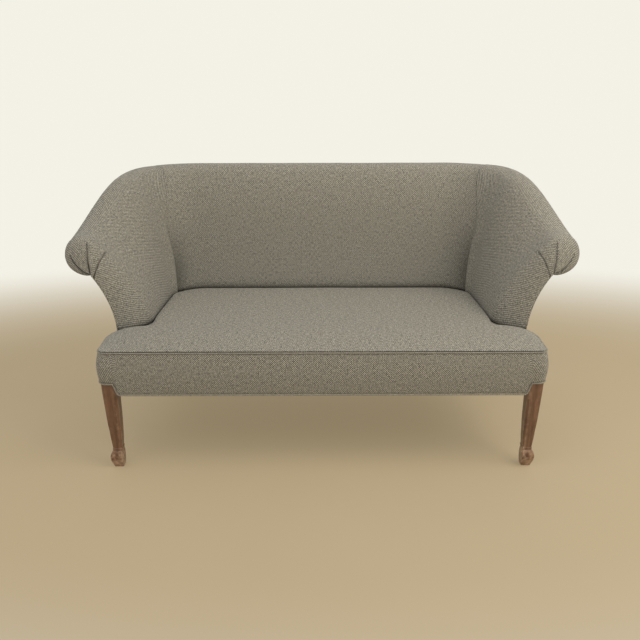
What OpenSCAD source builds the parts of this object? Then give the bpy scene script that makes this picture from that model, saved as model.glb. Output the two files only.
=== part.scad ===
// Rolled arm settee on a beech frame: sprung tight seat, arms that rise into the back, and stained wood legs.
// The sitter faces -Y. The origin is on the floor, below the middle of the whole box.

/* [Seat] */
// Clear width between the two arms at their fronts, level with the seat
inside_w = 1132; // [1080:1:1300]
// From the seat front to the inside back, level with the seat
seat_depth = 566; // [545:1:640]
// How far the seat's front and sides stand out past its rails
side_step = 11; // [7:0.5:12]
// Height at which the arms and the back meet the seat
seat_z = 434; // [425:1:470]
// How far the top welt lies below that height
welt_drop = 13; // [8:1:16]
// Rise of the seat's middle above its welt
seat_crown = 28; // [20:1:34]
// Radius of the seat's front corners in plan
seat_corner_r = 28; // [20:1:40]
// Swell of the front band at half its height
band_swell = 5.5; // [3:0.5:7]

/* [Arms] */
// Distance from the seat front to the arm fronts
arm_setback = 160; // [130:1:180]
// How far each arm's inner face comes in towards the back
arm_splay = 16; // [6:1:26]
// Thickness of an arm at its front, level with the seat
arm_t = 124; // [120:1:127]
// How far each arm's outer face comes in towards the back
arm_taper = 26; // [16:1:30]
// How far the outer panel is drawn in at seat height along the arm front
arm_waist = 16; // [8:1:17]
// Length over which an arm's front rounds off, level with the seat
arm_nose = 98; // [90:1:110]
// Length over which the front of the roll rounds off
roll_nose = 63; // [58:1:75]
// Height of the middle of the roll at the arm fronts
arm_roll_z = 676; // [650:1:700]
// Radius of the roll at the arm fronts
arm_roll_r = 61; // [60:1:70]
// From an arm's inner face out to the middle of its roll
arm_flare = 202; // [185:1:210]
// How far before the seam between arm and back the roll reaches the back's height
climb_stop = 19.4; // [0:0.1:50]
// How far before the back's straight part the roll takes the back's shape
change_stop = 3.8; // [0:0.1:60]

/* [Back] */
// Height of the middle of the roll along the back
back_roll_z = 842; // [800:1:880]
// Radius of the roll along the back
back_roll_r = 47; // [44:1:50]
// From the inside back at the seat to the middle of its roll
back_lean = 100; // [95:1:125]
// Thickness of the back level with the seat
back_t = 122; // [118:1:130]
// Radius of the inner corners in plan
corner_r = 110; // [90:1:125]
// How far the seam between arm and back leans towards the arm at the seat
seam_skew = 35; // [20:1:40]

/* [Upholstery] */
// Thickness of the cover fabric
cover_t = 2.5; // [1.5:0.1:3]
// Depth from the cover's face to the hessian behind the stuffing
stuffing_t = 28; // [24:0.5:30]
// Thickness of the hessian
hessian_t = 1; // [0.6:0.1:1.2]
// Radius of the piping along the seat and the lower edge
piping_r = 2.6; // [2:0.1:3]
// Width of a webbing strip
web_w = 50; // [44:1:54]
// Thickness of a webbing strip
web_t = 1.5; // [1:0.1:1.6]
// Radius of a seat spring at its ends
spring_r = 44; // [36:1:48]
// Radius of a seat spring at its waist
spring_waist_r = 30; // [24:1:34]
// Thickness of the spring wire
spring_wire = 4; // [3:0.1:4.5]
// Turns of one seat spring
spring_turns = 4; // [3:1:5]
// Springs from side to side
spring_columns = 6; // [4:2:6]
// Springs from front to back
spring_rows = 3; // [2:1:3]

/* [Frame] */
// Height of the underside of the seat rails
rail_z = 280; // [260:1:300]
// Height of a seat rail
rail_h = 91; // [90:1:100]
// Thickness of a seat rail
rail_t = 25; // [22:1:28]
// Side of a front leg's square head
leg_head = 48; // [42:1:48]
// Height of the bare part of a leg's head above the rail's underside
head_rise = 34; // [24:1:40]
// Width of a front leg at its ankle
ankle_w = 30; // [26:1:33]
// Width of a front toe
toe_w = 39; // [35:1:42]
// Height of a front toe
toe_h = 71; // [62:1:76]
// Side of a rear leg at its top
rear_leg_w = 42; // [38:1:46]
// Side of a rear leg at the floor
rear_foot_w = 27; // [24:1:32]
// How far a rear leg rakes back at the floor
rear_rake = 34; // [20:1:45]
// Thickness of the arm stumps
stump_t = 28; // [24:1:32]
// Width of a back post
post_w = 45; // [38:1:50]
// Radius of a frame dowel
dowel_r = 5; // [4:0.5:6]
// Length of a frame dowel
dowel_l = 56; // [48:1:64]

/* [Hidden] */

fabric = [0.36, 0.35, 0.32];
stain = [0.27, 0.15, 0.10];
beech = [0.80, 0.66, 0.47];
hair = [0.75, 0.70, 0.60];
hessian = [0.66, 0.54, 0.36];
jute = [0.55, 0.45, 0.30];
steel = [0.62, 0.63, 0.65];
black_cloth = [0.12, 0.12, 0.13];

gap = 0.3;
seat_gap = 0.6;
welt_z = seat_z - welt_drop;
band_lip = 2.5;
band_steps = [0:4];
// The band swells more at its ends than along its front: side goes from 0 to 1
function band_out(t, side = 0) = (band_swell + 1.5*side)*sin(180*t) + (band_lip + 3.5*side)*(1 - t);
box_front = max([for (k = band_steps) band_out(k/4)]);
front_y = -(seat_depth + back_lean + back_roll_r - box_front)/2;
full_y = arm_setback + arm_nose;
run_arm = seat_depth - corner_r - full_y;
run_corner = corner_r*PI/2;
run_back = inside_w/2 - arm_splay - corner_r;
run_all = run_arm + run_corner + run_back;
run_lead = arm_nose - roll_nose;
roll_climb_run = run_arm + run_corner/2 + run_lead - climb_stop;
roll_change_run = run_arm + run_corner + run_lead - change_stop;
corner_c = [inside_w/2 - arm_splay - corner_r, front_y + seat_depth - corner_r];
outer_x = inside_w/2 + arm_t;
corner_a = outer_x - arm_taper - corner_c.x;
corner_b = corner_r + back_t;
corner_power = 4;
rail_top = rail_z + rail_h;
tuck_z = rail_top + 12;
base_edge_z = rail_z + 1;
web_z = rail_z - 2*web_t;

// Shape of one section: angles where the roll starts and ends, and the handles of its curves
roll_start = [135, 155];
roll_end = [-120, -62];
panel_start = [234, 270];
foot_lean = 8;
nose_power = 1.2;

function clamp01(x) = min(1, max(0, x));
function ease(x) = let (c = clamp01(x)) c*c*(3 - 2*c);
function mix(a, b, w) = a + (b - a)*w;
function bezier(a, b, c, d, t) =
    pow(1 - t, 3)*a + 3*t*pow(1 - t, 2)*b + 3*t*t*(1 - t)*c + pow(t, 3)*d;
function flip(points) = [for (p = points) [-p.x, p.y, p.z]];

// The plan: a run s along the inner face, from the arm's full section to the middle of the back
function turn_at(s) = min(90, max(0, (s - run_arm)/corner_r*180/PI));
function base_at(s) = s < run_arm
    ? [inside_w/2 - arm_splay*max(s, 0)/run_arm, front_y + full_y + s]
    : s < run_arm + run_corner
    ? corner_c + corner_r*[cos(turn_at(s)), sin(turn_at(s))]
    : [corner_c.x - (s - run_arm - run_corner), front_y + seat_depth];
function change(s) = ease((s + run_lead)/roll_change_run);
function roll_c(s) = [mix(arm_flare, back_lean, change(s)),
    mix(arm_roll_z, back_roll_z, ease((s + run_lead)/roll_climb_run))];
function roll_r(s) = mix(arm_roll_r, back_roll_r, change(s));
function corner_out(a) =
    pow(pow(cos(a)/corner_a, corner_power) + pow(sin(a)/corner_b, corner_power), -1/corner_power);
function outer_at(s) = s < run_arm
    ? outer_x - arm_taper*max(s, 0)/run_arm - base_at(s).x
    : s < run_arm + run_corner ? corner_out(turn_at(s)) - corner_r : back_t;
// The outer panel slopes in from its foot (0) to the seat's height (1)
function waist(s, up) = arm_waist*up*(1 - ease(s/run_arm));

// One section, as [distance out from the inner face, height], set in by d; taut is 1 on a cover, 0 on a flat web
function on_roll(s, d, a) = roll_c(s) + (roll_r(s) - d)*[cos(a), sin(a)];
function neck(s, d) = on_roll(s, d, mix(roll_end[0], roll_end[1], change(s)));
function inner_curve(s, d, crowned, t) = let (
    a = mix(roll_start[0], roll_start[1], change(s)),
    p0 = [d, seat_z],
    p3 = on_roll(s, d, a),
    chord = norm(p3 - p0),
    way = (p3 - p0)/chord,
    out0 = crowned ? [sin(foot_lean), cos(foot_lean)] : way,
    out3 = crowned ? [sin(a), -cos(a)] : way
) bezier(p0, p0 + 0.4*chord*out0, p3 - 0.25*chord*out3, p3, t);
function panel_curve(s, d, t) = let (
    q0 = neck(s, d),
    drop = q0[1] - seat_z,
    a = mix(panel_start[0], panel_start[1], change(s)),
    x = outer_at(s) - d - waist(s, 1)
) bezier(q0, q0 + 0.28*drop*[cos(a), sin(a)], [x, seat_z + 0.4*drop], [x, seat_z], t);
// v runs from -1 at the tuck, 0 at the seat and 1 at the start of the roll to 2 at its neck
function section(s, d, crowned, v) = v < 0
    ? [d, mix(seat_z, tuck_z, -v)]
    : v <= 1
    ? inner_curve(s, d, crowned, v)
    : on_roll(s, d, mix(mix(roll_start[0], roll_start[1], change(s)),
        mix(roll_end[0], roll_end[1], change(s)), v - 1));
// The outer edge of the arm front, to which its sections shrink
function seam(s, d, v) = v < 0
    ? let (z = mix(seat_z, tuck_z, -v)) [outer_at(s) - d - waist(s, (z - base_edge_z)/(seat_z - base_edge_z)), z]
    : v <= 1 ? panel_curve(s, d, 1 - v) : neck(s, d);
function nose_run(v) = mix(arm_nose, roll_nose, ease((v - 0.3)/0.7));
function skewed(s, v) = s - (arm_nose - nose_run(v))*clamp01(1 - s/run_arm)
    - seam_skew*(1 - clamp01(v/0.75))*pow(cos(min(90, abs(s - run_arm - run_corner/2)*90/130)), 2);
function set_out(s, hz) = let (b = base_at(s), a = turn_at(s))
    [b.x + hz[0]*cos(a), b.y + hz[0]*sin(a), hz[1]];
// A row r is an angle round the arm's nose from -90 to 0, or a run past it
function shell(r, v, d, crowned = true) = r > 0
    ? let (s = skewed(r, v)) set_out(s, section(s, d, crowned, v))
    : let (
        s = (nose_run(v) - d)*(1 - cos(90 + r)) + d - arm_nose,
        from = seam(s, d, v)
    ) set_out(s, from + (section(s, d, crowned, v) - from)*pow(sin(90 + r), nose_power));
// The outer panel: w runs from 0 at the neck to 1 at the seat and 2 at the lower edge
function panel(s, w, d) = set_out(s, w <= 1
    ? panel_curve(s, d, w)
    : [outer_at(s) - d - waist(s, 2 - w), mix(seat_z, base_edge_z, w - 1)]);

// A closed sheet between two grids of points; rows of the same length
module sheet(over, under) {
    m = len(over);
    n = len(over[0]);
    pts = concat([for (row = over) each row], [for (row = under) each row]);
    k = m*n;
    rim = concat([for (j = [0:n - 2]) j], [for (i = [0:m - 2]) i*n + n - 1],
        [for (j = [n - 1:-1:1]) (m - 1)*n + j], [for (i = [m - 1:-1:1]) i*n]);
    faces = concat(
        [for (i = [0:m - 2], j = [0:n - 2]) each [
            [i*n + j, i*n + j + 1, (i + 1)*n + j + 1],
            [i*n + j, (i + 1)*n + j + 1, (i + 1)*n + j]]],
        [for (i = [0:m - 2], j = [0:n - 2]) each [
            [k + i*n + j, k + (i + 1)*n + j + 1, k + i*n + j + 1],
            [k + i*n + j, k + (i + 1)*n + j, k + (i + 1)*n + j + 1]]],
        [for (i = [0:len(rim) - 1]) let (a = rim[i], b = rim[(i + 1) % len(rim)]) each [
            [b, a, k + a], [b, k + a, k + b]]]);
    polyhedron(pts, faces, convexity = 8);
}
// A closed bar through rings of points, each ring in the same order
module bar(rings) {
    m = len(rings);
    n = len(rings[0]);
    faces = concat(
        [[for (j = [0:n - 1]) j]],
        [for (i = [0:m - 2], j = [0:n - 1]) each [
            [i*n + j, (i + 1)*n + j, (i + 1)*n + (j + 1) % n],
            [i*n + j, (i + 1)*n + (j + 1) % n, i*n + (j + 1) % n]]],
        [[for (j = [n - 1:-1:0]) (m - 1)*n + j]]);
    polyhedron([for (r = rings) each r], faces, convexity = 8);
}
module both_sides() {
    children();
    mirror([1, 0, 0]) children();
}
module left() mirror([1, 0, 0]) children();

// Rows and levels of the upholstery grids
nose_rows = [-87, -60, -30, 0];
seam_s = run_arm + run_corner/2;
arm_rows = concat(nose_rows, [for (k = [1:6]) run_arm*k/6], [run_arm + run_corner/4, seam_s - gap/2]);
half_back_rows = concat([seam_s + gap/2, run_arm + run_corner*3/4, run_arm + run_corner],
    [for (k = [1:3]) run_arm + run_corner + run_back*k/3]);
roll_steps = 7;
web_levels = concat([-1], [for (k = [0:4]) k/4]);
cover_levels = concat(web_levels, [for (k = [1:roll_steps]) 1 + k/roll_steps]);

function arm_grid(levels, d, crowned, rows = arm_rows) =
    [for (r = rows) [for (v = levels) shell(r, v, d, crowned)]];
function back_grid(levels, d, crowned) = concat(
    [for (r = half_back_rows) [for (v = levels) shell(r, v, d, crowned)]],
    [for (i = [len(half_back_rows) - 2:-1:0])
        flip([for (v = levels) shell(half_back_rows[i], v, d, crowned)])]);

module arm_layer(levels, d0, d1, crowned0, crowned1, rows = arm_rows)
    sheet(arm_grid(levels, d1, crowned1, rows), arm_grid(levels, d0, crowned0, rows));
module back_layer(levels, d0, d1, crowned0, crowned1)
    sheet(back_grid(levels, d1, crowned1), back_grid(levels, d0, crowned0));

hessian_d = stuffing_t + gap;
frame_d = hessian_d + hessian_t + 2;

module inside_arm() color(fabric) arm_layer(cover_levels, 0, cover_t, true, true);
module arm_stuffing() color(hair) arm_layer(cover_levels, cover_t + gap, stuffing_t, true, false);
module arm_hessian() color(hessian)
    arm_layer(web_levels, hessian_d, hessian_d + hessian_t, false, false,
        [for (r = arm_rows) if (r > -45) r]);
module inside_back() color(fabric) back_layer(cover_levels, 0, cover_t, true, true);
module back_stuffing() color(hair) back_layer(cover_levels, cover_t + gap, stuffing_t, true, false);
module back_hessian() color(hessian)
    back_layer(web_levels, hessian_d, hessian_d + hessian_t, false, false);

// Outer panels, tacked below the roll and along the lower edge
panel_levels = [0.012, 0.15, 0.35, 0.6, 0.8, 1, 2];
function panel_runs(d) = concat([d + 2*gap - arm_nose, -0.5*arm_nose, 0],
    [for (k = [1:3]) run_arm*k/3], [for (k = [1:3]) run_arm + run_corner*k/8], [seam_s - gap/2]);
half_back_panel_runs = concat([seam_s + gap/2], [for (k = [5:8]) run_arm + run_corner*k/8],
    [for (k = [1:3]) run_arm + run_corner + run_back*k/3]);
function arm_panel_grid(d) = [for (s = panel_runs(d)) [for (w = panel_levels) panel(s, w, d)]];
function back_panel_grid(d) = concat(
    [for (s = half_back_panel_runs) [for (w = panel_levels) panel(s, w, d)]],
    [for (i = [len(half_back_panel_runs) - 2:-1:0])
        flip([for (w = panel_levels) panel(half_back_panel_runs[i], w, d)])]);
module outside_arm() color(fabric) sheet(arm_panel_grid(cover_t), arm_panel_grid(0));
module outside_back() color(fabric) sheet(back_panel_grid(cover_t), back_panel_grid(0));

// Seat plan: rows from the front edge back, each [half width, y]
seat_half = outer_x + side_step;
side_draw = side_step - 2;
edge_in = 3;
rail_set = side_step;
function side_x(y) = seat_half - side_draw*ease((y - arm_setback + 40)/38);
function front_x(y, d) = let (c = seat_corner_r - d, reach = max(0, seat_corner_r - y))
    side_x(y) - seat_corner_r + sqrt(max(0, c*c - reach*reach));
seat_front_ys = [0.02, 0.2, 0.55, 1];
function seat_rows(d, at_arm) = concat(
    [for (f = seat_front_ys) let (y = mix(d, seat_corner_r, f)) [front_x(y, d), front_y + y]],
    [for (y = [70, arm_setback - 42, arm_setback - 20, arm_setback - at_arm - 0.8])
        [side_x(y) - d, front_y + y]],
    [for (r = concat(nose_rows, [for (k = [1:3]) run_arm*k/3],
        [for (k = [1:4]) run_arm + run_corner*k/4])) let (p = shell(r, 0, -at_arm))
        [min(p.x, side_x(arm_setback) - d), p.y]]);
seat_columns = [for (k = [5:-1:-5]) sin(90*k/5)];
// Height of the cover: a soft crown, rolled down to the front and the bare sides, tucked in at the arms and back
function crown(u, y) = let (
    m = y - front_y,
    rise = 1 - pow(1 - min(1, max(0, m)/150), 2.4),
    side = 1 - mix(1, 0.42, ease((m - arm_setback + 60)/110))*pow(abs(u), 9),
    rear = 1 - 0.4*ease((m - seat_depth + 130)/125)
) welt_z + seat_crown*rise*side*rear;
function seat_grid(d, at_arm, drop) = [for (row = seat_rows(d, at_arm))
    [for (u = seat_columns) [row[0]*u, row[1], crown(u, row[1]) - drop]]];
function seat_floor(d, at_arm, z) = [for (row = seat_rows(d, at_arm))
    [for (u = seat_columns) [row[0]*u, row[1], z]]];
seat_hessian_z = rail_top + gap;
stuffing_floor = seat_hessian_z + hessian_t + gap;
module seat_cover() color(fabric)
    sheet(seat_grid(edge_in, seat_gap, 0), seat_grid(edge_in, seat_gap, cover_t));
module seat_stuffing() color(hair)
    sheet(seat_grid(rail_set + gap, seat_gap + 4, cover_t + gap),
        seat_floor(rail_set + gap, seat_gap + 4, stuffing_floor));
module seat_hessian() color(hessian) translate([0, 0, seat_hessian_z]) linear_extrude(hessian_t)
    polygon(let (half = concat(
        [[seat_half - 2*rail_set, front_y + 2*rail_set], [outer_x - 2*rail_set, front_y + arm_setback]],
        [for (r = [-60, -30, 0, run_arm, run_arm + run_corner/3, run_arm + run_corner*2/3,
            run_arm + run_corner]) let (p = shell(r, 0, 10)) [p.x, p.y]]))
        concat(half, [for (i = [len(half) - 1:-1:0]) [-half[i].x, half[i].y]]));

// Front band: stations along the plan as [x, y, way out x, way out y, how bare the leg head is]
head_out = seat_half - 1;
head_in = head_out - leg_head;
head_front = front_y + 0.5;
head_back = head_front + leg_head;
head_top = rail_z + head_rise;
bare_edge_z = head_top + 2*piping_r + 2*gap;
band_top = welt_z - 2;
step_run = 18;
function bare(x, y, early = 0) = min(ease((x + early - head_in + 10)/step_run),
    1 - ease((y - early - head_back + front_y + 8)/step_run));
band_half = concat(
    [for (x = concat([0, 0.45*head_in, 0.9*head_in], [for (k = [0:4]) head_in - 10 + step_run*k/4])) [x, 0, 0, -1]],
    [for (a = [-90:22.5:0]) [seat_half + seat_corner_r*(cos(a) - 1), seat_corner_r*(1 + sin(a)),
        cos(a), sin(a)]],
    [for (y = concat([for (k = [0:4]) head_back - front_y - 8 + step_run*k/4],
        [for (k = [-70, -40, -27, -14, -1]) arm_setback + k])) [side_x(y), y, 1, 0]]);
band_path = concat([for (i = [len(band_half) - 1:-1:1]) let (p = band_half[i]) [-p[0], p[1], -p[2], p[3]]],
    band_half);
function band_low(p, early = 0) = mix(base_edge_z, bare_edge_z, bare(abs(p[0]), p[1], early));
function band_point(p, z, d) = let (
    t = (z - band_low(p))/(band_top - band_low(p)),
    out = band_out(t, abs(p[2]))*(1 - ease((p[1] - arm_setback + 40)/38)) - d
) [p[0] + p[2]*out, front_y + p[1] + p[3]*out, z];
function band_grid(d, early, below, above) = [for (p = band_path) [for (k = band_steps)
    band_point(p, mix(band_low(p, early) + below, band_top - above, k/4), d)]];
module front_band() color(fabric) sheet(band_grid(0, 0, 0, 0), band_grid(cover_t, 0, 0, 0));
module band_padding() color(hair) sheet(band_grid(cover_t + 2.5*gap, step_run, 4, 4), [for (p = band_path)
    [for (k = band_steps) [p[0] - p[2]*(rail_set - gap), front_y + p[1] - p[3]*(rail_set - gap),
        mix(band_low(p, step_run) + 4, band_top - 4, k/4)]]]);

function ring_on(p, d, z, r) = [for (a = [300:-60:0])
    [p[0] + p[2]*(r*cos(a) - d), front_y + p[1] + p[3]*(r*cos(a) - d), z + r*sin(a)]];
module seat_welt() color(fabric)
    bar([for (p = band_path) ring_on(p, edge_in - gap - piping_r, band_top + gap + piping_r, piping_r)]);
function edge_ring(s, side) = [for (a = [300:-60:0])
    let (q = set_out(s, [outer_at(s) - 0.6*piping_r + piping_r*cos(a),
        base_edge_z - gap - piping_r + piping_r*sin(a)])) [side*q.x, q.y, q.z]];
edge_runs = concat(panel_runs(0), [for (s = half_back_panel_runs) if (s > seam_s + gap) s]);
module base_welt() color(fabric) {
    bar([for (p = band_path) ring_on(p, 0.2 - piping_r, band_low(p) - gap - piping_r, piping_r)]);
    bar(concat([for (s = edge_runs) edge_ring(s, 1)],
        [for (i = [len(edge_runs) - 2:-1:0]) edge_ring(edge_runs[i], -1)]));
}

// Seat frame
frame_in = 5;
back_rail_y = front_y + seat_depth + back_t - frame_in - rail_t;
rail_front_y = front_y + rail_set;
block_edge = 20;
rail_rear = [corner_c.x + corner_a - frame_in, corner_c.y + block_edge];
back_rail_end = corner_c.x + block_edge;
function rail_out(y) = mix(outer_x - 0.4*arm_waist, rail_rear.x, (y - head_back)/(rail_rear.y - head_back));
dowel_x_z = [rail_z + 33, rail_z + 63];
dowel_y_z = [rail_z + 48, rail_z + 78];

module dowel_across(r) for (z = dowel_x_z)
    translate([head_in - dowel_l/2, rail_front_y + rail_t/2, z]) rotate([0, 90, 0]) cylinder(r = r, h = dowel_l, $fn = 48);
module dowel_along(r) for (z = dowel_y_z)
    translate([rail_out(head_back) - rail_t/2, head_back - dowel_l/2, z]) rotate([-90, 0, 0])
        cylinder(r = r, h = dowel_l, $fn = 48);
bore_gap = 0.05;
module rail_dowels() color(beech) both_sides() {
    dowel_across(dowel_r);
    dowel_along(dowel_r);
}
module front_rail() color(beech) difference() {
    translate([-head_in, rail_front_y, rail_z]) cube([2*head_in, rail_t, rail_h]);
    both_sides() {
        dowel_across(dowel_r + bore_gap);
        screw_into_front(screw_r + bore_gap, 0);
    }
}
module back_rail() color(beech)
    translate([-back_rail_end, back_rail_y, rail_z]) cube([2*back_rail_end, rail_t, rail_h]);
module side_rail() color(beech) difference() {
    translate([0, 0, rail_z]) linear_extrude(rail_h) polygon([[rail_out(head_back), head_back], rail_rear,
        [rail_rear.x - rail_t, rail_rear.y], [rail_out(head_back) - rail_t, head_back]]);
    dowel_along(dowel_r + bore_gap);
    screw_into_side(screw_r + bore_gap, 0);
}
stretcher_w = 28;
module seat_stretcher() color(beech)
    translate([-stretcher_w/2, rail_front_y + rail_t, rail_z])
        cube([stretcher_w, back_rail_y - rail_front_y - rail_t, 0.65*rail_h]);

// Corner blocks; the rear ones carry the rear legs and the back posts
corner_turns = [for (k = [1:7]) 90*k/8];
rear_block_plan = concat([rail_rear],
    [for (a = corner_turns) corner_c + (corner_out(a) - frame_in)*[cos(a), sin(a)]],
    [[back_rail_end, back_rail_y + rail_t], [back_rail_end, back_rail_y],
        [rail_rear.x - rail_t, rail_rear.y]]);
rear_leg_c = corner_c + (corner_out(45) - frame_in - 0.72*rear_leg_w - 8)*[cos(45), sin(45)];
bolt_r = 4;
bolt_l = 72;
module leg_bolt(r) translate([rear_leg_c.x, rear_leg_c.y, rail_z - bolt_l/2]) cylinder(r = r, h = bolt_l, $fn = 48);
module leg_bolts() color(steel) both_sides() leg_bolt(bolt_r);
module rear_corner_blocks() color(beech) both_sides() difference() {
    translate([0, 0, rail_z]) linear_extrude(rail_h) polygon(rear_block_plan);
    leg_bolt(bolt_r + bore_gap);
}
block_leg = 65;
function rail_inner(y) = rail_out(y) - rail_t;
front_block_plan = let (yr = rail_front_y + rail_t, ye = head_back + block_leg) [
    [head_in - block_leg, yr], [head_in, yr], [head_in, head_back], [rail_inner(head_back), head_back],
    [rail_inner(ye), ye]];
screw_r = 2;
screw_head_r = 4.2;
screw_a = [head_in - 36, rail_front_y + rail_t + 22, rail_z + 48];
screw_b = [head_in - 10, head_back + 34, rail_z + 60];
module screw_into_front(r, head) translate(screw_a) rotate([90, 0, 0]) {
    cylinder(r = r, h = 38, $fn = 32);
    if (head > 0) translate([0, 0, -head]) cylinder(r = screw_head_r + r - screw_r, h = head, $fn = 32);
}
module screw_into_side(r, head) translate(screw_b) rotate([0, 90, 0]) {
    cylinder(r = r, h = 32, $fn = 32);
    if (head > 0) translate([0, 0, -head]) cylinder(r = screw_head_r + r - screw_r, h = head, $fn = 32);
}
module front_corner_blocks() color(beech) both_sides() difference() {
    translate([0, 0, rail_z + 20]) linear_extrude(rail_h - 40) polygon(front_block_plan);
    screw_into_front(screw_r + bore_gap, block_leg);
    screw_into_side(screw_r + bore_gap, block_leg);
}
module corner_screws() color(steel) both_sides() {
    screw_into_front(screw_r, 3);
    screw_into_side(screw_r, 3);
}

// Legs: plan slices as [inner x, outer x, front y, back y, radius of the outer front edge, height]
ankle_x = head_in + 5;
ankle_y = head_front + 8;
taper_top = rail_z - 6;
knee_z = mix(toe_h, taper_top, 0.66);
head_slice = [head_in, head_out, head_front, head_back, 14];
knee_slice = [head_in + 0.6, head_out - 4.6, head_front + 3.6, head_back - 2, 8];
ankle_slice = [ankle_x, ankle_x + ankle_w, ankle_y, ankle_y + ankle_w + 3, 4];
module slice(q, z, h = 0.01) translate([0, 0, z]) linear_extrude(h) polygon(concat(
    [[q[0], q[2]]],
    [for (a = [-90:15:0]) [q[1] - q[4] + q[4]*cos(a), q[2] + q[4] + q[4]*sin(a)]],
    [[q[1], q[3]], [q[0], q[3]]]));
module front_leg() color(stain) difference() {
    union() {
        slice([head_in, outer_x, rail_front_y, head_back, seat_corner_r - rail_set + 1],
            head_top, rail_top - head_top);
        slice(head_slice, taper_top, head_top - taper_top);
        hull() {
            slice(head_slice, taper_top);
            slice(knee_slice, knee_z);
        }
        hull() {
            slice(knee_slice, knee_z);
            slice(ankle_slice, toe_h);
        }
        translate([ankle_x - 1.3, ankle_y - 1.3, toe_h - 1]) cube([ankle_w + 2.6, ankle_w + 5.6, 4]);
        hull() {
            slice(ankle_slice, toe_h - 1);
            translate([ankle_x + 1, ankle_y + 13, 0.58*toe_h]) rotate([0, 90, 0])
                cylinder(r = 0.25*toe_h, h = toe_w, $fn = 32);
            translate([ankle_x + 1, ankle_y + ankle_w - 6, 0.45*toe_h]) cube([toe_w, 10, 0.2*toe_h]);
            translate([ankle_x + 3, ankle_y + 10, 0]) cube([toe_w - 5, 24, 1]);
        }
    }
    dowel_across(dowel_r + bore_gap);
    dowel_along(dowel_r + bore_gap);
}
module rear_leg() color(stain) difference() {
    hull() {
        translate([rear_leg_c.x - rear_leg_w/2, rear_leg_c.y - rear_leg_w/2, rail_z - 1]) cube([rear_leg_w, rear_leg_w, 1]);
        translate([rear_leg_c.x - rear_foot_w/2 + 6, rear_leg_c.y - rear_foot_w/2 + rear_rake, 0])
            cube([rear_foot_w, rear_foot_w, 1]);
    }
    leg_bolt(bolt_r + bore_gap);
}

// Arm frame
stump_y = arm_setback + stuffing_t + 12;
stump_d = frame_d + 3;
function nose_angle(v, off, d) = let (c = 1 - (off - d)/(nose_run(v) - d))
    c <= 0 ? 0 : acos(c) - 90;
stump_plan = concat(
    [for (v = concat([0, 0.25, 0.5, 0.75, 1], [for (k = [1:6]) 1 + k/6]))
        let (p = shell(nose_angle(v, stump_y - arm_setback, stump_d), v, stump_d, false)) [p.x, p.z]],
    [for (w = [0.12, 0.3, 0.5, 0.75, 1]) let (p = panel(-1, w, frame_in)) [p.x, p.z]],
    [[rail_out(front_y + stump_y) - 1, rail_top], [rail_out(front_y + stump_y) - rail_t - 22, rail_top]]);
module arm_stump() color(beech)
    translate([0, front_y + stump_y + stump_t, 0]) rotate([90, 0, 0]) linear_extrude(stump_t) polygon(stump_plan);

function top_rail_half(s) = 0.6*(roll_r(s) - frame_d);
function square_ring(s) = let (c = roll_c(s), b = top_rail_half(s))
    [for (q = [[-b, b], [b, b], [b, -b], [-b, -b]]) set_out(s, c + q)];
stump_run = stump_y + stump_t - full_y + gap;
module arm_top_rail() color(beech)
    bar([for (s = concat([stump_run], [for (k = [0:4]) mix(0, run_arm, k/4)],
        [run_arm + run_corner/4, seam_s - gap/2])) square_ring(s)]);
crest_runs = [seam_s + gap/2, run_arm + run_corner*3/4, run_arm + run_corner];
module crest_rail() color(beech)
    bar(concat([for (s = crest_runs) square_ring(s)],
        [for (i = [len(crest_runs) - 1:-1:0]) flip(square_ring(crest_runs[i]))]));
tack_rail_z = [tuck_z + 2, tuck_z + 42];
tack_rail_d = [frame_d + 10, frame_d + 34];
function tack_ring(s) = [for (q = [[0, 1], [1, 1], [1, 0], [0, 0]])
    set_out(s, [tack_rail_d[q[0]], tack_rail_z[q[1]]])];
// The end of a tack rail against the side of a back post
function tack_end(side) = [for (q = [[0, 1], [1, 1], [1, 0], [0, 0]]) let (h = tack_rail_d[q[0]])
    set_out(seam_s + side*corner_r*asin((post_w/2 + gap)/(corner_r + h))*PI/180, [h, tack_rail_z[q[1]]])];
module arm_tack_rail() color(beech)
    bar(concat([for (s = [stump_run, 0, run_arm, run_arm + run_corner/5]) tack_ring(s)], [tack_end(-1)]));
back_tack_runs = [run_arm + run_corner*4/5, run_arm + run_corner];
module back_tack_rail() color(beech)
    bar(concat([tack_end(1)], [for (s = back_tack_runs) tack_ring(s)],
        [for (i = [len(back_tack_runs) - 1:-1:0]) flip(tack_ring(back_tack_runs[i]))], [flip(tack_end(1))]));

// Back frame: leaning corner posts and two uprights below the crest rail
function top_rail_under(s) = roll_c(s)[1] - top_rail_half(s);
function post_outline(s, foot) = let (z = min(top_rail_under(s), top_rail_under(s - 0.8*post_w)) - gap,
    front = inner_curve(s, frame_d, false, 1)[0])
    [[foot[0], rail_top], [foot[1], rail_top], [roll_c(s)[0], z], [front, z]];
module back_posts() color(beech) both_sides()
    translate([corner_c.x, corner_c.y, 0]) rotate([0, 0, 45]) translate([corner_r, post_w/2, 0])
        rotate([90, 0, 0]) linear_extrude(post_w) polygon(post_outline(seam_s, [frame_d + 4, frame_d + 44]));
back_web_pitch = (run_back - web_w)/3;
upright_x = 1.5*back_web_pitch + 5;
module back_uprights() color(beech) both_sides()
    translate([upright_x - post_w/2, front_y + seat_depth, 0]) rotate([90, 0, 90])
        linear_extrude(post_w) polygon(post_outline(run_all, [back_t - frame_in - rail_t, back_t - frame_in]));
web_foot = [front_y + seat_depth + tack_rail_d[0] - 2*gap, tack_rail_z[1]];
web_head = [front_y + seat_depth + roll_c(run_all)[0] - top_rail_half(run_all) - 2*gap, top_rail_under(run_all)];
web_path = [[web_foot.x, tack_rail_z[0] + 4], web_foot, web_head, [web_head.x, web_head.y + 12]];
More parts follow.
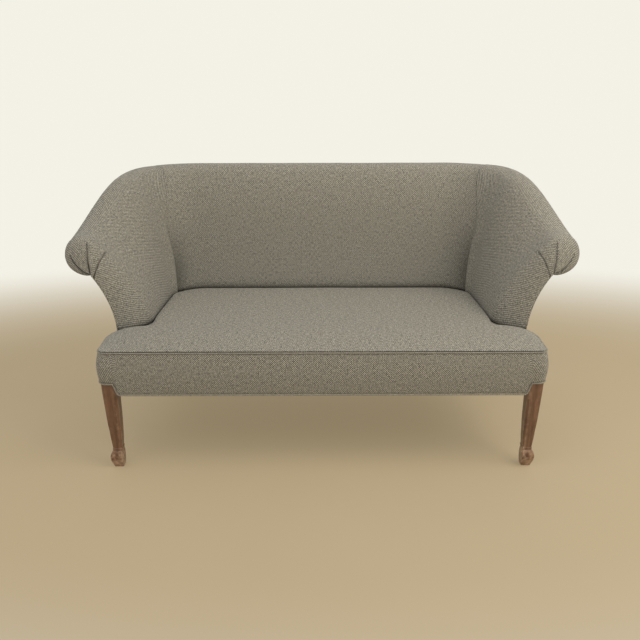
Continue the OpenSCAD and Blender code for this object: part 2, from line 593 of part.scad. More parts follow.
module back_webbing() color(jute) for (k = [-3:3])
    translate([back_web_pitch*k - web_w/2, 0, 0]) rotate([90, 0, 90]) linear_extrude(web_w)
        polygon(concat(web_path, [for (i = [3:-1:0]) web_path[i] - [web_t, 0]]));

// Seat suspension
web_pitch = (head_in - web_w - 1)/5;
cross_webs = [for (k = [0:5]) mix(2*leg_head - 2, back_rail_y - front_y - 2*web_w - 8, k/5)];
function round_back(x) = abs(x) < back_rail_end ? back_rail_y + rail_t - 4
    : corner_c.y + corner_b*pow(1 - pow((abs(x) - corner_c.x)/corner_a, corner_power), 1/corner_power) - 10;
function round_side(y) = y < rail_rear.y ? rail_out(y) - 4
    : corner_c.x + corner_a*pow(1 - pow((y - corner_c.y)/corner_b, corner_power), 1/corner_power) - 10;
module seat_webbing() color(jute) {
    for (k = [-4:4]) let (x = k*web_pitch)
        translate([x - web_w/2, rail_front_y + 3, web_z])
            cube([web_w, round_back(abs(x) + web_w/2) - rail_front_y - 3, web_t]);
    for (m = cross_webs) let (y = front_y + m, x = round_side(y + web_w/2))
        translate([-x, y - web_w/2, web_z + web_t]) cube([2*x, web_w, web_t]);
}
twine_t = 1.8;
spring_top = rail_top - twine_t - 2*gap;
spring_pitch = 2*(head_in - 81)/spring_columns;
spring_xs = [for (k = [0:spring_columns - 1]) spring_pitch*(k - (spring_columns - 1)/2)];
spring_ys = [for (k = [0:spring_rows - 1]) front_y + mix(138, seat_depth - 118, k/(spring_rows - 1))];
ring_steps = 7;
spring_wide = spring_wire/2;
function spring_at(t) = let (
    r = mix(spring_waist_r, spring_r, pow(2*t - 1, 2)) - spring_wide,
    z = mix(rail_z + spring_wide + gap, spring_top - spring_wide, ease(mix(0, 1, (t - 0.04)/0.92))),
    a = 360*spring_turns*t
) [r*cos(a), r*sin(a), z];
spring_points = [for (i = [0:ring_steps*spring_turns]) spring_at(i/(ring_steps*spring_turns))];
spring_clear = min([for (i = [0:len(spring_points) - 1 - ring_steps])
    norm(spring_points[i + ring_steps] - spring_points[i])]) - spring_wire;
echo("least gap of a spring's wire to itself, mm", spring_clear);
module seat_spring() bar([for (i = [0:len(spring_points) - 1])
    let (a = 360*i/ring_steps, p = spring_points[i])
    [for (q = [270:-90:0]) p + spring_wide*[cos(q)*cos(a), cos(q)*sin(a), sin(q)]]]);
module seat_springs() color(steel) for (x = spring_xs, y = spring_ys) translate([x, y, 0]) seat_spring();
function block_front(x) = abs(x) < back_rail_end ? back_rail_y
    : mix(back_rail_y, rail_rear.y, (abs(x) - back_rail_end)/(rail_rear.x - rail_t - back_rail_end));
module spring_twine() color(jute) {
    for (x = spring_xs) translate([x - 1, rail_front_y + rail_t + gap, rail_top - twine_t - gap])
        cube([2, block_front(x) - rail_front_y - rail_t - 3*gap, twine_t]);
    for (y = spring_ys) let (x = rail_inner(y) - gap)
        translate([-x, y - 1, rail_top - twine_t - gap]) cube([2*x, 2, twine_t]);
}

// Dust cover under the seat, and its tacks
dust_t = 0.8;
dust_z = web_z - gap - dust_t;
dust_half = concat([[head_in - 6, rail_front_y + 6], [head_in - 6, head_back + 6],
    [rail_out(head_back) - 8, head_back + 6], [rail_rear.x - 8, rail_rear.y]],
    [for (a = corner_turns) corner_c + (corner_out(a) - frame_in - 8)*[cos(a), sin(a)]],
    [[back_rail_end, back_rail_y + rail_t - 8]]);
tack_spots = concat(
    [for (k = [0:4]) [(k + 0.5)*web_pitch, rail_front_y + rail_t/2]],
    [for (k = [0:2]) [(k + 0.5)*web_pitch, back_rail_y + rail_t/2]],
    [for (k = [0:3]) let (y = front_y + (cross_webs[k] + cross_webs[k + 1])/2) [rail_out(y) - rail_t/2, y]]);
tack_r = 0.8;
module dust_cover() color(black_cloth) difference() {
    translate([0, 0, dust_z]) linear_extrude(dust_t)
        polygon(concat(dust_half, [for (i = [len(dust_half) - 1:-1:0]) [-dust_half[i].x, dust_half[i].y]]));
    for (p = tack_spots, side = [-1, 1])
        translate([side*p.x, p.y, dust_z - 1]) cylinder(r = tack_r + 0.2, h = dust_t + 2, $fn = 16);
    both_sides() translate([rear_leg_c.x, rear_leg_c.y, dust_z - 1])
        linear_extrude(dust_t + 2) square(rear_leg_w + 6, center = true);
}
module dust_cover_tacks() color(steel) for (p = tack_spots, side = [-1, 1]) translate([side*p.x, p.y, 0]) {
    translate([0, 0, dust_z - gap/2 - 0.8]) cylinder(r = 3, h = 0.8, $fn = 24);
    translate([0, 0, dust_z - gap/2]) cylinder(r = tack_r, h = rail_z - gap - dust_z, $fn = 16);
}

front_rail();
back_rail();
left() side_rail();  // side_rail_left
side_rail();  // side_rail_right
seat_stretcher();
left() front_leg();  // front_leg_left
front_leg();  // front_leg_right
left() rear_leg();  // rear_leg_left
rear_leg();  // rear_leg_right
rear_corner_blocks();
front_corner_blocks();
corner_screws();
leg_bolts();
rail_dowels();
left() arm_stump();  // arm_stump_left
arm_stump();  // arm_stump_right
left() arm_top_rail();  // arm_top_rail_left
arm_top_rail();  // arm_top_rail_right
left() arm_tack_rail();  // arm_tack_rail_left
arm_tack_rail();  // arm_tack_rail_right
back_posts();
back_uprights();
crest_rail();
back_tack_rail();
seat_webbing();
seat_springs();
spring_twine();
seat_hessian();
seat_stuffing();
seat_cover();
band_padding();
front_band();
seat_welt();
base_welt();
back_webbing();
back_hessian();
back_stuffing();
inside_back();
outside_back();
left() arm_hessian();  // arm_hessian_left
arm_hessian();  // arm_hessian_right
left() arm_stuffing();  // arm_stuffing_left
arm_stuffing();  // arm_stuffing_right
left() inside_arm();  // inside_arm_left
inside_arm();  // inside_arm_right
left() outside_arm();  // outside_arm_left
outside_arm();  // outside_arm_right
dust_cover();
dust_cover_tacks();
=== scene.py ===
"""Rolled arm sofa with a tight sprung seat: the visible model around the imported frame.

Sizes are in millimetres, as in the part's source, and every mesh is made in metres in the same
frame: X along the sofa's length, Y towards the back, Z up.
"""

import logging
import math
from dataclasses import dataclass
from enum import Enum
from functools import cached_property
from typing import Callable, Iterable, NamedTuple, Sequence

import bmesh
import bpy
from mathutils import Matrix, Vector, noise


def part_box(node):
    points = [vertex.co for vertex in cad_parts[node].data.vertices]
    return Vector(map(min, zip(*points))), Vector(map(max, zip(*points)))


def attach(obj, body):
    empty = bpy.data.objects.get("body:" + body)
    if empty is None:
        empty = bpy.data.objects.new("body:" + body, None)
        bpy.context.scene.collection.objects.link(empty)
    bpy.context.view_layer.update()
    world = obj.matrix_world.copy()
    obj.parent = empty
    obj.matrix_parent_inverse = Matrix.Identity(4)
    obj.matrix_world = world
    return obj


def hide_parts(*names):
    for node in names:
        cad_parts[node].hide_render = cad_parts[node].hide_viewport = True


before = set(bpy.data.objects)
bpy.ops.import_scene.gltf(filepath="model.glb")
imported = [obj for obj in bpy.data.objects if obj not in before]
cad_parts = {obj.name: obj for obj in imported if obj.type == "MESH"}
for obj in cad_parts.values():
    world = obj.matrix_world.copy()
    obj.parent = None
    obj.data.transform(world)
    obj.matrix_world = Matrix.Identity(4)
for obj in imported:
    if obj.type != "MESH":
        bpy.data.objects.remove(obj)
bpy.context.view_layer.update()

log = logging.getLogger("sofa")

# A millimetre in metres; the rest is in millimetres: the thickness of a cover and of a web, and how far
# below a face the points lie that tell its inner side
MM = 0.001
COVER_T = 2.0
WEB_T = 0.7
BELOW = 4.0
Point = Callable[[float, float], Vector]


def clamp01(x: float) -> float:
    """Limits x to the range 0 to 1."""
    return min(1.0, max(0.0, x))


def ease(x: float) -> float:
    """Rises softly from 0 at x = 0 to 1 at x = 1."""
    c = clamp01(x)
    return c * c * (3 - 2 * c)


def mix(a: float, b: float, w: float) -> float:
    """Goes from a at w = 0 to b at w = 1."""
    return a + (b - a) * w


def spread(a: float, b: float, steps: int) -> list[float]:
    """Numbers from a to b at even steps, both ends included."""
    return [mix(a, b, k / steps) for k in range(steps + 1)]


def ridge(x: float, width: float) -> float:
    """A bump of height 1 at x = 0 that dies away within about twice its width."""
    return math.exp(-((x / width) ** 2))


def bezier(a: Vector, b: Vector, c: Vector, d: Vector, t: float) -> Vector:
    """The point at t on the cubic curve with the handles b and c."""
    r = 1 - t
    return a * r**3 + b * (3 * t * r * r) + c * (3 * t * t * r) + d * t**3


def unevenness(x: float, y: float, z: float, reach: float) -> float:
    """Slow dips and rises from -1 to 1 over the sofa, about reach millimetres apart."""
    return noise.noise(Vector((x / reach, y / reach, z / reach)))


class Side(Enum):
    """The sofa's two ends, as seen from the front."""

    LEFT = -1
    RIGHT = 1

    @property
    def word(self) -> str:
        """The end's name in the names of the nodes."""
        return self.name.lower()


class Way(Enum):
    """The axis along which a finish runs."""

    X = 0
    Y = 1
    Z = 2


@dataclass(frozen=True)
class SofaPlan:
    """The sofa's sizes in millimetres, with the plan and the sections that follow from them.

    A run s goes along the inner face from the arm's full section to the middle of the back. A
    level v goes from -1 at the tuck over 0 at the seat and 1 at the start of the roll to 2 at
    the roll's neck. A depth d goes inwards from the face of the cover.
    """

    inside_w: float = 1132.0
    seat_depth: float = 566.0
    seat_z: float = 434.0
    welt_drop: float = 13.0
    seat_crown: float = 28.0
    seat_corner_r: float = 28.0
    side_step: float = 11.0
    band_swell: float = 5.5
    band_lip: float = 2.5
    arm_setback: float = 160.0
    arm_splay: float = 16.0
    arm_t: float = 124.0
    arm_taper: float = 26.0
    arm_nose: float = 98.0
    arm_waist: float = 16.0
    roll_nose: float = 63.0
    arm_roll_z: float = 676.0
    arm_roll_r: float = 61.0
    arm_flare: float = 202.0
    climb_stop: float = 19.4
    change_stop: float = 3.8
    back_roll_z: float = 842.0
    back_roll_r: float = 47.0
    back_lean: float = 100.0
    back_t: float = 122.0
    corner_r: float = 110.0
    cover_t: float = 2.5
    stuffing_t: float = 28.0
    hessian_t: float = 1.0
    piping_r: float = 2.6
    gap: float = 0.3
    rail_z: float = 280.0
    rail_h: float = 91.0
    leg_head: float = 48.0
    foot_lean: float = 8.0
    nose_power: float = 1.2

    @cached_property
    def front_y(self) -> float:
        """Y of the seat's front edge."""
        swell = max(self.band_out(k / 4) for k in range(5))
        return -(self.seat_depth + self.back_lean + self.back_roll_r - swell) / 2

    @cached_property
    def full_y(self) -> float:
        """Where the arm has its full section, from the front edge."""
        return self.arm_setback + self.arm_nose

    @cached_property
    def run_arm(self) -> float:
        """Length of the straight run of an arm."""
        return self.seat_depth - self.corner_r - self.full_y

    @cached_property
    def run_corner(self) -> float:
        """Length of the run round an inner corner."""
        return self.corner_r * math.pi / 2

    @cached_property
    def run_back(self) -> float:
        """Length of the run from a corner to the middle of the back."""
        return self.inside_w / 2 - self.arm_splay - self.corner_r

    @cached_property
    def run_all(self) -> float:
        """Length of the whole run of one half."""
        return self.run_arm + self.run_corner + self.run_back

    @cached_property
    def seam_s(self) -> float:
        """Run at which the arm's covers meet the back's."""
        return self.run_arm + self.run_corner / 2

    @cached_property
    def corner_c(self) -> tuple[float, float]:
        """Centre of the inner corner's arc."""
        return (self.inside_w / 2 - self.arm_splay - self.corner_r,
                self.front_y + self.seat_depth - self.corner_r)

    @cached_property
    def outer_x(self) -> float:
        """X of the arm's outer panel at its front."""
        return self.inside_w / 2 + self.arm_t

    @cached_property
    def corner_ab(self) -> tuple[float, float]:
        """Half axes of the outer corner's round."""
        return (self.outer_x - self.arm_taper - self.corner_c[0], self.corner_r + self.back_t)

    @cached_property
    def tuck_z(self) -> float:
        """Height to which the inner covers are pulled down behind the seat."""
        return self.rail_z + self.rail_h + 12

    @cached_property
    def base_edge_z(self) -> float:
        """Lower edge of the outer panels and of the front band."""
        return self.rail_z + 1

    @cached_property
    def welt_z(self) -> float:
        """Height of the seat's front edge."""
        return self.seat_z - self.welt_drop

    @cached_property
    def seat_half(self) -> float:
        """Half the width of the seat's front."""
        return self.outer_x + self.side_step

    @cached_property
    def head_in(self) -> float:
        """Inner side of the front leg's head."""
        return self.head_out - self.leg_head

    @cached_property
    def head_out(self) -> float:
        """Outer side of the front leg's head."""
        return self.seat_half - 1

    def band_out(self, t: float, side: float = 0.0) -> float:
        """How far the front band stands out at share t of its height, more so at its ends (side 1)."""
        return ((self.band_swell + 1.5 * side) * math.sin(math.pi * t)
                + (self.band_lip + 3.5 * side) * (1 - t))

    def turn_at(self, s: float) -> float:
        """Direction out from the inner face at run s, in radians from X."""
        return min(math.pi / 2, max(0.0, (s - self.run_arm) / self.corner_r))

    def base_at(self, s: float) -> tuple[float, float]:
        """Plan point of the inner face at run s.

        Args:
            s: The run.

        Returns:
            Its x and y.
        """
        if s < self.run_arm:
            return (self.inside_w / 2 - self.arm_splay * max(s, 0.0) / self.run_arm,
                    self.front_y + self.full_y + s)
        if s < self.run_arm + self.run_corner:
            a = self.turn_at(s)
            return (self.corner_c[0] + self.corner_r * math.cos(a),
                    self.corner_c[1] + self.corner_r * math.sin(a))
        return (self.corner_c[0] - (s - self.run_arm - self.run_corner),
                self.front_y + self.seat_depth)

    def change(self, s: float) -> float:
        """How far the section has changed from the arm's (0) to the back's (1)."""
        lead = self.arm_nose - self.roll_nose
        return ease((s + lead) / (self.run_arm + self.run_corner + lead - self.change_stop))

    def roll_c(self, s: float) -> Vector:
        """Centre of the roll, as distance out and height.

        Args:
            s: The run.

        Returns:
            The centre.
        """
        lead = self.arm_nose - self.roll_nose
        climb = ease((s + lead) / (self.run_arm + self.run_corner / 2 + lead - self.climb_stop))
        return Vector((mix(self.arm_flare, self.back_lean, self.change(s)),
                       mix(self.arm_roll_z, self.back_roll_z, climb)))

    def roll_r(self, s: float) -> float:
        """Radius of the roll."""
        return mix(self.arm_roll_r, self.back_roll_r, self.change(s))

    def roll_start(self, s: float) -> float:
        """Angle at which the cover reaches the roll."""
        return math.radians(mix(135, 155, self.change(s)))

    def roll_end(self, s: float) -> float:
        """Angle at which the cover leaves the roll, at its neck."""
        return math.radians(mix(-120, -62, self.change(s)))

    def outer_at(self, s: float) -> float:
        """Distance from the inner face to the outer panel.

        Args:
            s: The run.

        Returns:
            The distance in millimetres.
        """
        if s < self.run_arm:
            return self.outer_x - self.arm_taper * max(s, 0.0) / self.run_arm - self.base_at(s)[0]
        if s < self.run_arm + self.run_corner:
            a, (p, q) = self.turn_at(s), self.corner_ab
            return ((math.cos(a) / p) ** 4 + (math.sin(a) / q) ** 4) ** -0.25 - self.corner_r
        return self.back_t

    def waist(self, s: float, up: float) -> float:
        """How far the outer panel is drawn in, from its foot (0) up to the seat's height (1)."""
        return self.arm_waist * up * (1 - ease(s / self.run_arm))

    def on_roll(self, s: float, d: float, a: float) -> Vector:
        """A point of the roll's section at the angle a."""
        return self.roll_c(s) + (self.roll_r(s) - d) * Vector((math.cos(a), math.sin(a)))

    def inner_curve(self, s: float, d: float, crowned: bool, t: float) -> Vector:
        """The inner face from the seat to the roll, crowned on a cover and straight on a web.

        Args:
            s: The run.
            d: The depth.
            crowned: Whether the face is stuffed.
            t: From 0 at the seat to 1 at the roll.

        Returns:
            Distance out and height.
        """
        a = self.roll_start(s)
        p0, p3 = Vector((d, self.seat_z)), self.on_roll(s, d, a)
        chord = (p3 - p0).length
        way = (p3 - p0) / chord
        lean = math.radians(self.foot_lean)
        out0 = Vector((math.sin(lean), math.cos(lean))) if crowned else way
        out3 = Vector((math.sin(a), -math.cos(a))) if crowned else way
        return bezier(p0, p0 + 0.4 * chord * out0, p3 - 0.25 * chord * out3, p3, t)

    def panel_curve(self, s: float, d: float, t: float) -> Vector:
        """The outer panel from the neck (0) down to the seat's height (1).

        Args:
            s: The run.
            d: The depth.
            t: From 0 at the neck to 1 at the seat.

        Returns:
            Distance out and height.
        """
        q0 = self.on_roll(s, d, self.roll_end(s))
        drop = q0.y - self.seat_z
        a = math.radians(mix(234, 270, self.change(s)))
        x = self.outer_at(s) - d - self.waist(s, 1.0)
        return bezier(q0, q0 + 0.28 * drop * Vector((math.cos(a), math.sin(a))),
                      Vector((x, self.seat_z + 0.4 * drop)), Vector((x, self.seat_z)), t)

    def section(self, s: float, d: float, crowned: bool, v: float) -> Vector:
        """The inner cover's section at run s and level v, as distance out and height.

        Args:
            s: The run.
            d: The depth.
            crowned: Whether the face is stuffed.
            v: The level.

        Returns:
            Distance out and height.
        """
        if v < 0:
            return Vector((d, mix(self.seat_z, self.tuck_z, -v)))
        if v <= 1:
            return self.inner_curve(s, d, crowned, v)
        return self.on_roll(s, d, mix(self.roll_start(s), self.roll_end(s), v - 1))

    def front_seam(self, s: float, d: float, v: float) -> Vector:
        """The outer edge of the arm's front, to which its sections shrink.

        Args:
            s: The run.
            d: The depth.
            v: The level.

        Returns:
            Distance out and height.
        """
        if v < 0:
            z = mix(self.seat_z, self.tuck_z, -v)
            up = (z - self.base_edge_z) / (self.seat_z - self.base_edge_z)
            return Vector((self.outer_at(s) - d - self.waist(s, up), z))
        if v <= 1:
            return self.panel_curve(s, d, 1 - v)
        return self.on_roll(s, d, self.roll_end(s))

    def nose_run(self, v: float) -> float:
        """How far the arm's rounded front reaches forward at level v."""
        return mix(self.arm_nose, self.roll_nose, ease((v - 0.3) / 0.7))

    @staticmethod
    def seam_lean(v: float) -> float:
        """How far the corner's seam leans towards the front at level v, on its way down."""
        lean = 15 + 7 * ridge(max(v, 0.0), 0.12) + 12 * ridge(v - 0.53, 0.16)
        return lean * (1 - ease((v - 0.65) / 0.35))

    def skewed(self, s: float, v: float) -> float:
        """The run moved for the slant of the arm's front and of the seam at the corner.

        Args:
            s: The run.
            v: The level.

        Returns:
            The run on the plan.
        """
        off = min(90.0, abs(s - self.seam_s) * 90 / 130)
        return (s - (self.arm_nose - self.nose_run(v)) * clamp01(1 - s / self.run_arm)
                - self.seam_lean(v) * math.cos(math.radians(off)) ** 2)

    def set_out(self, s: float, hz: Vector, side: int = 1) -> Vector:
        """A section's point in space, in metres, on the right (1) or left (-1) half."""
        (x, y), a = self.base_at(s), self.turn_at(s)
        return Vector((side * (x + hz.x * math.cos(a)), y + hz.x * math.sin(a), hz.y)) * MM

    def shell(self, r: float, v: float, d: float, side: int = 1, crowned: bool = True) -> Vector:
        """A point of the inner upholstery.

        Args:
            r: An angle round the arm's front from -90 to 0 degrees, or a run past it.
            v: The level.
            d: The depth below the cover's face.
            side: 1 for the right half and -1 for the left.
            crowned: Whether the face is stuffed, or straight as a web is.

        Returns:
            The point in metres.
        """
        if r > 0:
            s = self.skewed(r, v)
            return self.set_out(s, self.section(s, d, crowned, v), side)
        a = math.radians(90 + r)
        s = (self.nose_run(v) - d) * (1 - math.cos(a)) + d - self.arm_nose
        edge = self.front_seam(s, d, v)
        face = self.section(s, d, crowned, v)
        return self.set_out(s, edge + (face - edge) * max(0.0, math.sin(a)) ** self.nose_power, side)

    def panel(self, s: float, w: float, d: float, side: int = 1) -> Vector:
        """A point of the outer panel, w from 0 at the neck over 1 at the seat to 2 at its foot.

        Args:
            s: The run.
            w: The place down the panel.
            d: The depth.
            side: 1 for the right half and -1 for the left.

        Returns:
            The point in metres.
        """
        if w <= 1:
            return self.set_out(s, self.panel_curve(s, d, w), side)
        return self.set_out(s, Vector((self.outer_at(s) - d - self.waist(s, 2 - w),
                                       mix(self.seat_z, self.base_edge_z, w - 1))), side)

    def into_arm(self, y: float) -> float:
        """How far the seat's side has drawn in to the arm y behind the front edge, from 0 to 1."""
        return ease((y - self.arm_setback + 40) / 38)

    def side_x(self, y: float) -> float:
        """Half width of the seat y behind its front edge."""
        return self.seat_half - (self.side_step - 2) * self.into_arm(y)

    def front_x(self, y: float, d: float) -> float:
        """Half width of the seat's top within its rounded corners, set in by d."""
        c, reach = self.seat_corner_r - d, max(0.0, self.seat_corner_r - y)
        return self.side_x(y) - self.seat_corner_r + math.sqrt(max(0.0, c * c - reach * reach))

    def to_wall(self, x: float, y: float) -> float:
        """Distance from a point of the seat to the nearest inner face of arm or back.

        Args:
            x: The point's x.
            y: The point's y.

        Returns:
            The distance in millimetres.
        """
        x, (cx, cy) = abs(x), self.corner_c
        if x > cx and y > cy:
            return self.corner_r - math.hypot(x - cx, y - cy)
        side = self.base_at(max(0.0, y - self.front_y - self.full_y))[0] - x
        return min(side, self.front_y + self.seat_depth - y)


PLAN = SofaPlan()


class Net:
    """A grid of points on a surface, laid with a mesh operator and mapped as cloth is.

    Args:
        rows: Values along the first way.
        cols: Values along the second way.
        point: Gives the place in metres for a row's and a column's value.
        start: Row and column, as shares from 0 to 1, from which the cloth's threads run.
        level: Whether the cloth lies level, so that its threads run straight along X and Y.
    """

    def __init__(self, rows: Iterable[float], cols: Iterable[float], point: Point,
                 start: tuple[float, float] = (0.5, 0.5), level: bool = False) -> None:
        self.rows, self.cols, self.level = list(rows), list(cols), level
        self.points = [[point(a, b) for b in self.cols] for a in self.rows]
        self.row0 = round(start[0] * (len(self.rows) - 1))
        self.col0 = round(start[1] * (len(self.cols) - 1))

    def threads(self) -> list[list[tuple[float, float]]]:
        """Cloth coordinates in metres: the way walked over the surface along each thread.

        Returns:
            For each row, each point's way along and across.
        """
        m, n = len(self.rows), len(self.cols)
        if self.level:
            return [[(place.y, place.x) for place in row] for row in self.points]
        along = [[0.0] * n for _ in range(m)]
        across = [[0.0] * n for _ in range(m)]
        for j in range(n):
            for i in range(self.row0 + 1, m):
                along[i][j] = along[i - 1][j] + (self.points[i][j] - self.points[i - 1][j]).length
            for i in range(self.row0 - 1, -1, -1):
                along[i][j] = along[i + 1][j] - (self.points[i][j] - self.points[i + 1][j]).length
        for i in range(m):
            for j in range(self.col0 + 1, n):
                across[i][j] = across[i][j - 1] + (self.points[i][j] - self.points[i][j - 1]).length
            for j in range(self.col0 - 1, -1, -1):
                across[i][j] = across[i][j + 1] - (self.points[i][j] - self.points[i][j + 1]).length
        return [[(along[i][j], across[i][j]) for j in range(n)] for i in range(m)]

    def add_to(self, bm: bmesh.types.BMesh, values: Callable[[int, int], float] | None = None,
               layer: str = "edge") -> list[bmesh.types.BMFace]:
        """Lays the net into a mesh.

        Args:
            bm: The mesh that it is added to.
            values: Gives a number for a row's and a column's place in the net, if any is kept.
            layer: The name under which those numbers are kept.

        Returns:
            The new faces.
        """
        m, n = len(self.rows) - 1, len(self.cols) - 1
        uv = bm.loops.layers.uv.get("UVMap") or bm.loops.layers.uv.new("UVMap")
        kept = (bm.verts.layers.float.get(layer) or bm.verts.layers.float.new(layer)) if values else None
        verts = bmesh.ops.create_grid(bm, x_segments=m, y_segments=n, size=1.0)["verts"]
        threads, places = self.threads(), {}
        for vert in verts:
            i, j = round((vert.co.x + 1) / 2 * m), round((vert.co.y + 1) / 2 * n)
            vert.co = self.points[i][j]
            places[vert] = (i, j)
            if kept:
                vert[kept] = values(i, j)
        faces = list({face for vert in verts for face in vert.link_faces})
        for face in faces:
            for loop in face.loops:
                i, j = places[loop.vert]
                loop[uv].uv = threads[i][j]
        return faces

    def area(self) -> float:
        """Area of the surface in square metres.

        Returns:
            The area.
        """
        total = 0.0
        for low, high in zip(self.points, self.points[1:]):
            for j in range(len(low) - 1):
                total += 0.5 * (high[j + 1] - low[j]).cross(high[j] - low[j + 1]).length
        return total

    def size(self) -> tuple[float, float]:
        """Greatest length along the rows and along the columns, as cut from the roll.

        Returns:
            Both lengths in metres.
        """
        threads = self.threads()
        ends = list(zip(threads[0], threads[-1]))
        return (max(b[0] - a[0] for a, b in ends), max(row[-1][1] - row[0][1] for row in threads))


class Maker:
    """Turns nets into the sofa's pieces."""

    @staticmethod
    def piece(name: str, bm: bmesh.types.BMesh, finish: bpy.types.Material,
              smooth: bool = True) -> bpy.types.Object:
        """Makes an object of a finished mesh.

        Args:
            name: The piece's name.
            bm: Its mesh, which is freed.
            finish: Its material.
            smooth: Whether its faces are shaded smooth.

        Returns:
            The new object, at the origin.
        """
        mesh = bpy.data.meshes.new(name)
        for face in bm.faces:
            face.smooth = smooth
        bm.to_mesh(mesh)
        bm.free()
        mesh.materials.append(finish)
        obj = bpy.data.objects.new(name, mesh)
        bpy.context.scene.collection.objects.link(obj)
        log.info("%s: %d faces", name, len(mesh.polygons))
        return obj

    @staticmethod
    def face_out(bm: bmesh.types.BMesh, net: Net, inner: Point) -> None:
        """Turns a net's faces away from the points that lie below it.

        Args:
            bm: The mesh.
            net: The net that it holds.
            inner: Points below the net.
        """
        i, j = len(net.rows) // 2, len(net.cols) // 2
        place = net.points[i][j]
        out = place - inner(net.rows[i], net.cols[j])
        vert = min(bm.verts, key=lambda v: (v.co - place).length)
        vert.normal_update()
        if vert.normal.dot(out) < 0:
            bmesh.ops.reverse_faces(bm, faces=bm.faces)

    @classmethod
    def cloth(cls, name: str, net: Net, inner: Point, thick: float, finish: bpy.types.Material,
              shade: Callable[[float, float], float] | None = None) -> bpy.types.Object:
        """A cover: one net with the cloth's thickness below it.

        Args:
            name: The piece's name.
            net: Its face.
            inner: Points somewhat below the face.
            thick: Thickness in millimetres.
            finish: Its material.
            shade: Gives the painted shade in its folds for a row's and a column's value, kept in the mesh as
                an attribute that darkens the cloth's colour.

        Returns:
            The cover.
        """
        bm = bmesh.new()
        # The fold attribute holds painted shade: the cloth's colour is darkened by it in creases, pleats and
        # hollows.
        net.add_to(bm, (lambda i, j: shade(net.rows[i], net.cols[j])) if shade else None, "fold")
        cls.face_out(bm, net, inner)
        obj = cls.piece(name, bm, finish)
        wall = obj.modifiers.new("thickness", "SOLIDIFY")
        wall.thickness, wall.offset = thick * MM, -1.0
        return obj

    @classmethod
    def pad(cls, name: str, outer: Net, inner: Net, finish: bpy.types.Material) -> bpy.types.Object:
        """A pad: an outer and an inner net, closed round their edges.

        Args:
            name: The piece's name.
            outer: Its face.
            inner: Its back.
            finish: Its material.

        Returns:
            The pad.
        """
        bm = bmesh.new()
        outer.add_to(bm)
        inner.add_to(bm)
        bmesh.ops.bridge_loops(bm, edges=[e for e in bm.edges if e.is_boundary])
        bmesh.ops.recalc_face_normals(bm, faces=bm.faces)
        return cls.piece(name, bm, finish)

    @staticmethod
    def add_tube(bm: bmesh.types.BMesh, rings: Sequence[float], around: Sequence[float], point: Point,
                 values: Callable[[int, int], float] | None = None) -> None:
        """Adds a closed tube whose first and last columns are the same line.

        Args:
            bm: The mesh that it is added to.
            rings: Values along the tube.
            around: Values round it, from the seam to the seam again.
            point: Gives the place for a ring's and a column's value.
            values: Gives a number that is kept with each point, if any.
        """
        faces = Net(rings, around, point, (0.0, 0.0)).add_to(bm, values)
        verts = list({v for f in faces for v in f.verts})
        bmesh.ops.remove_doubles(bm, verts=verts, dist=1e-6)
        rim = [e for e in bm.edges if e.is_boundary]
        bmesh.ops.holes_fill(bm, edges=rim, sides=0)

    @staticmethod
    def settle(obj: bpy.types.Object, slot: str, nodes: Sequence[str], fill: float | None = None) -> None:
        """Fixes a piece to the sofa.

        Args:
            obj: The piece.
            slot: Not used.
            nodes: The nodes that it stands for.
            fill: Not used.
        """
        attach(obj, "root")
        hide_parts(*nodes)


class Graph:
    """Adds and joins the nodes of a material or of a group."""

    def __init__(self, tree: bpy.types.NodeTree) -> None:
        self.tree = tree

    def add(self, kind: str, inputs: dict | None = None, **settings: object) -> bpy.types.Node:
        """Adds a node.

        Args:
            kind: The node's type.
            inputs: Values or sockets for its inputs, by name or number.
            **settings: Its properties.

        Returns:
            The node.
        """
        node = self.tree.nodes.new(kind)
        for key, value in settings.items():
            setattr(node, key, value)
        for key, value in (inputs or {}).items():
            if isinstance(value, bpy.types.NodeSocket):
                self.tree.links.new(value, node.inputs[key])
            else:
                node.inputs[key].default_value = value
        return node

    def math(self, operation: str, *values: object, clamp: bool = False) -> bpy.types.NodeSocket:
        """The result of a sum on numbers or sockets."""
        node = self.add("ShaderNodeMath", dict(enumerate(values)), operation=operation, use_clamp=clamp)
        return node.outputs[0]

    def scaled(self, vector: bpy.types.NodeSocket, scale: Sequence[float]) -> bpy.types.NodeSocket:
        """A vector multiplied part by part."""
        node = self.add("ShaderNodeVectorMath", {0: vector, 1: tuple(scale)}, operation="MULTIPLY")
        return node.outputs[0]

    def blend(self, share: object, low: object, high: object) -> bpy.types.NodeSocket:
        """A number between two others."""
        node = self.add("ShaderNodeMix", {0: share, 2: low, 3: high}, data_type="FLOAT")
        return node.outputs[0]

    def tint(self, share: object, low: object, high: object, way: str = "MIX") -> bpy.types.NodeSocket:
        """A colour between two others, or one laid over the other."""
        node = self.add("ShaderNodeMix", {0: share, 6: low, 7: high}, data_type="RGBA", blend_type=way)
        return node.outputs[2]

    def noise(self, vector: object, scale: float, detail: float = 2.0,
              rough: float = 0.5) -> bpy.types.NodeSocket:
        """Even noise from 0 to 1.

        Args:
            vector: Where it is read.
            scale: How fine it is.
            detail: How many finer layers it has.
            rough: How strong these are.

        Returns:
            The noise.
        """
        node = self.add("ShaderNodeTexNoise", {"Vector": vector, "Scale": scale, "Detail": detail,
                                               "Roughness": rough})
        return node.outputs[0]

    def ramp(self, share: object, stops: Sequence[tuple[float, Sequence[float]]]) -> bpy.types.NodeSocket:
        """A colour from a row of stops.

        Args:
            share: The place on the row.
            stops: Each stop's place and colour.

        Returns:
            The colour.
        """
        node = self.add("ShaderNodeValToRGB", {0: share})
        points = node.color_ramp.elements
        while len(points) < len(stops):
            points.new(0.5)
        for point, (place, colour) in zip(points, stops):
            point.position = place
            point.color = (*colour, 1.0)
        return node.outputs[0]


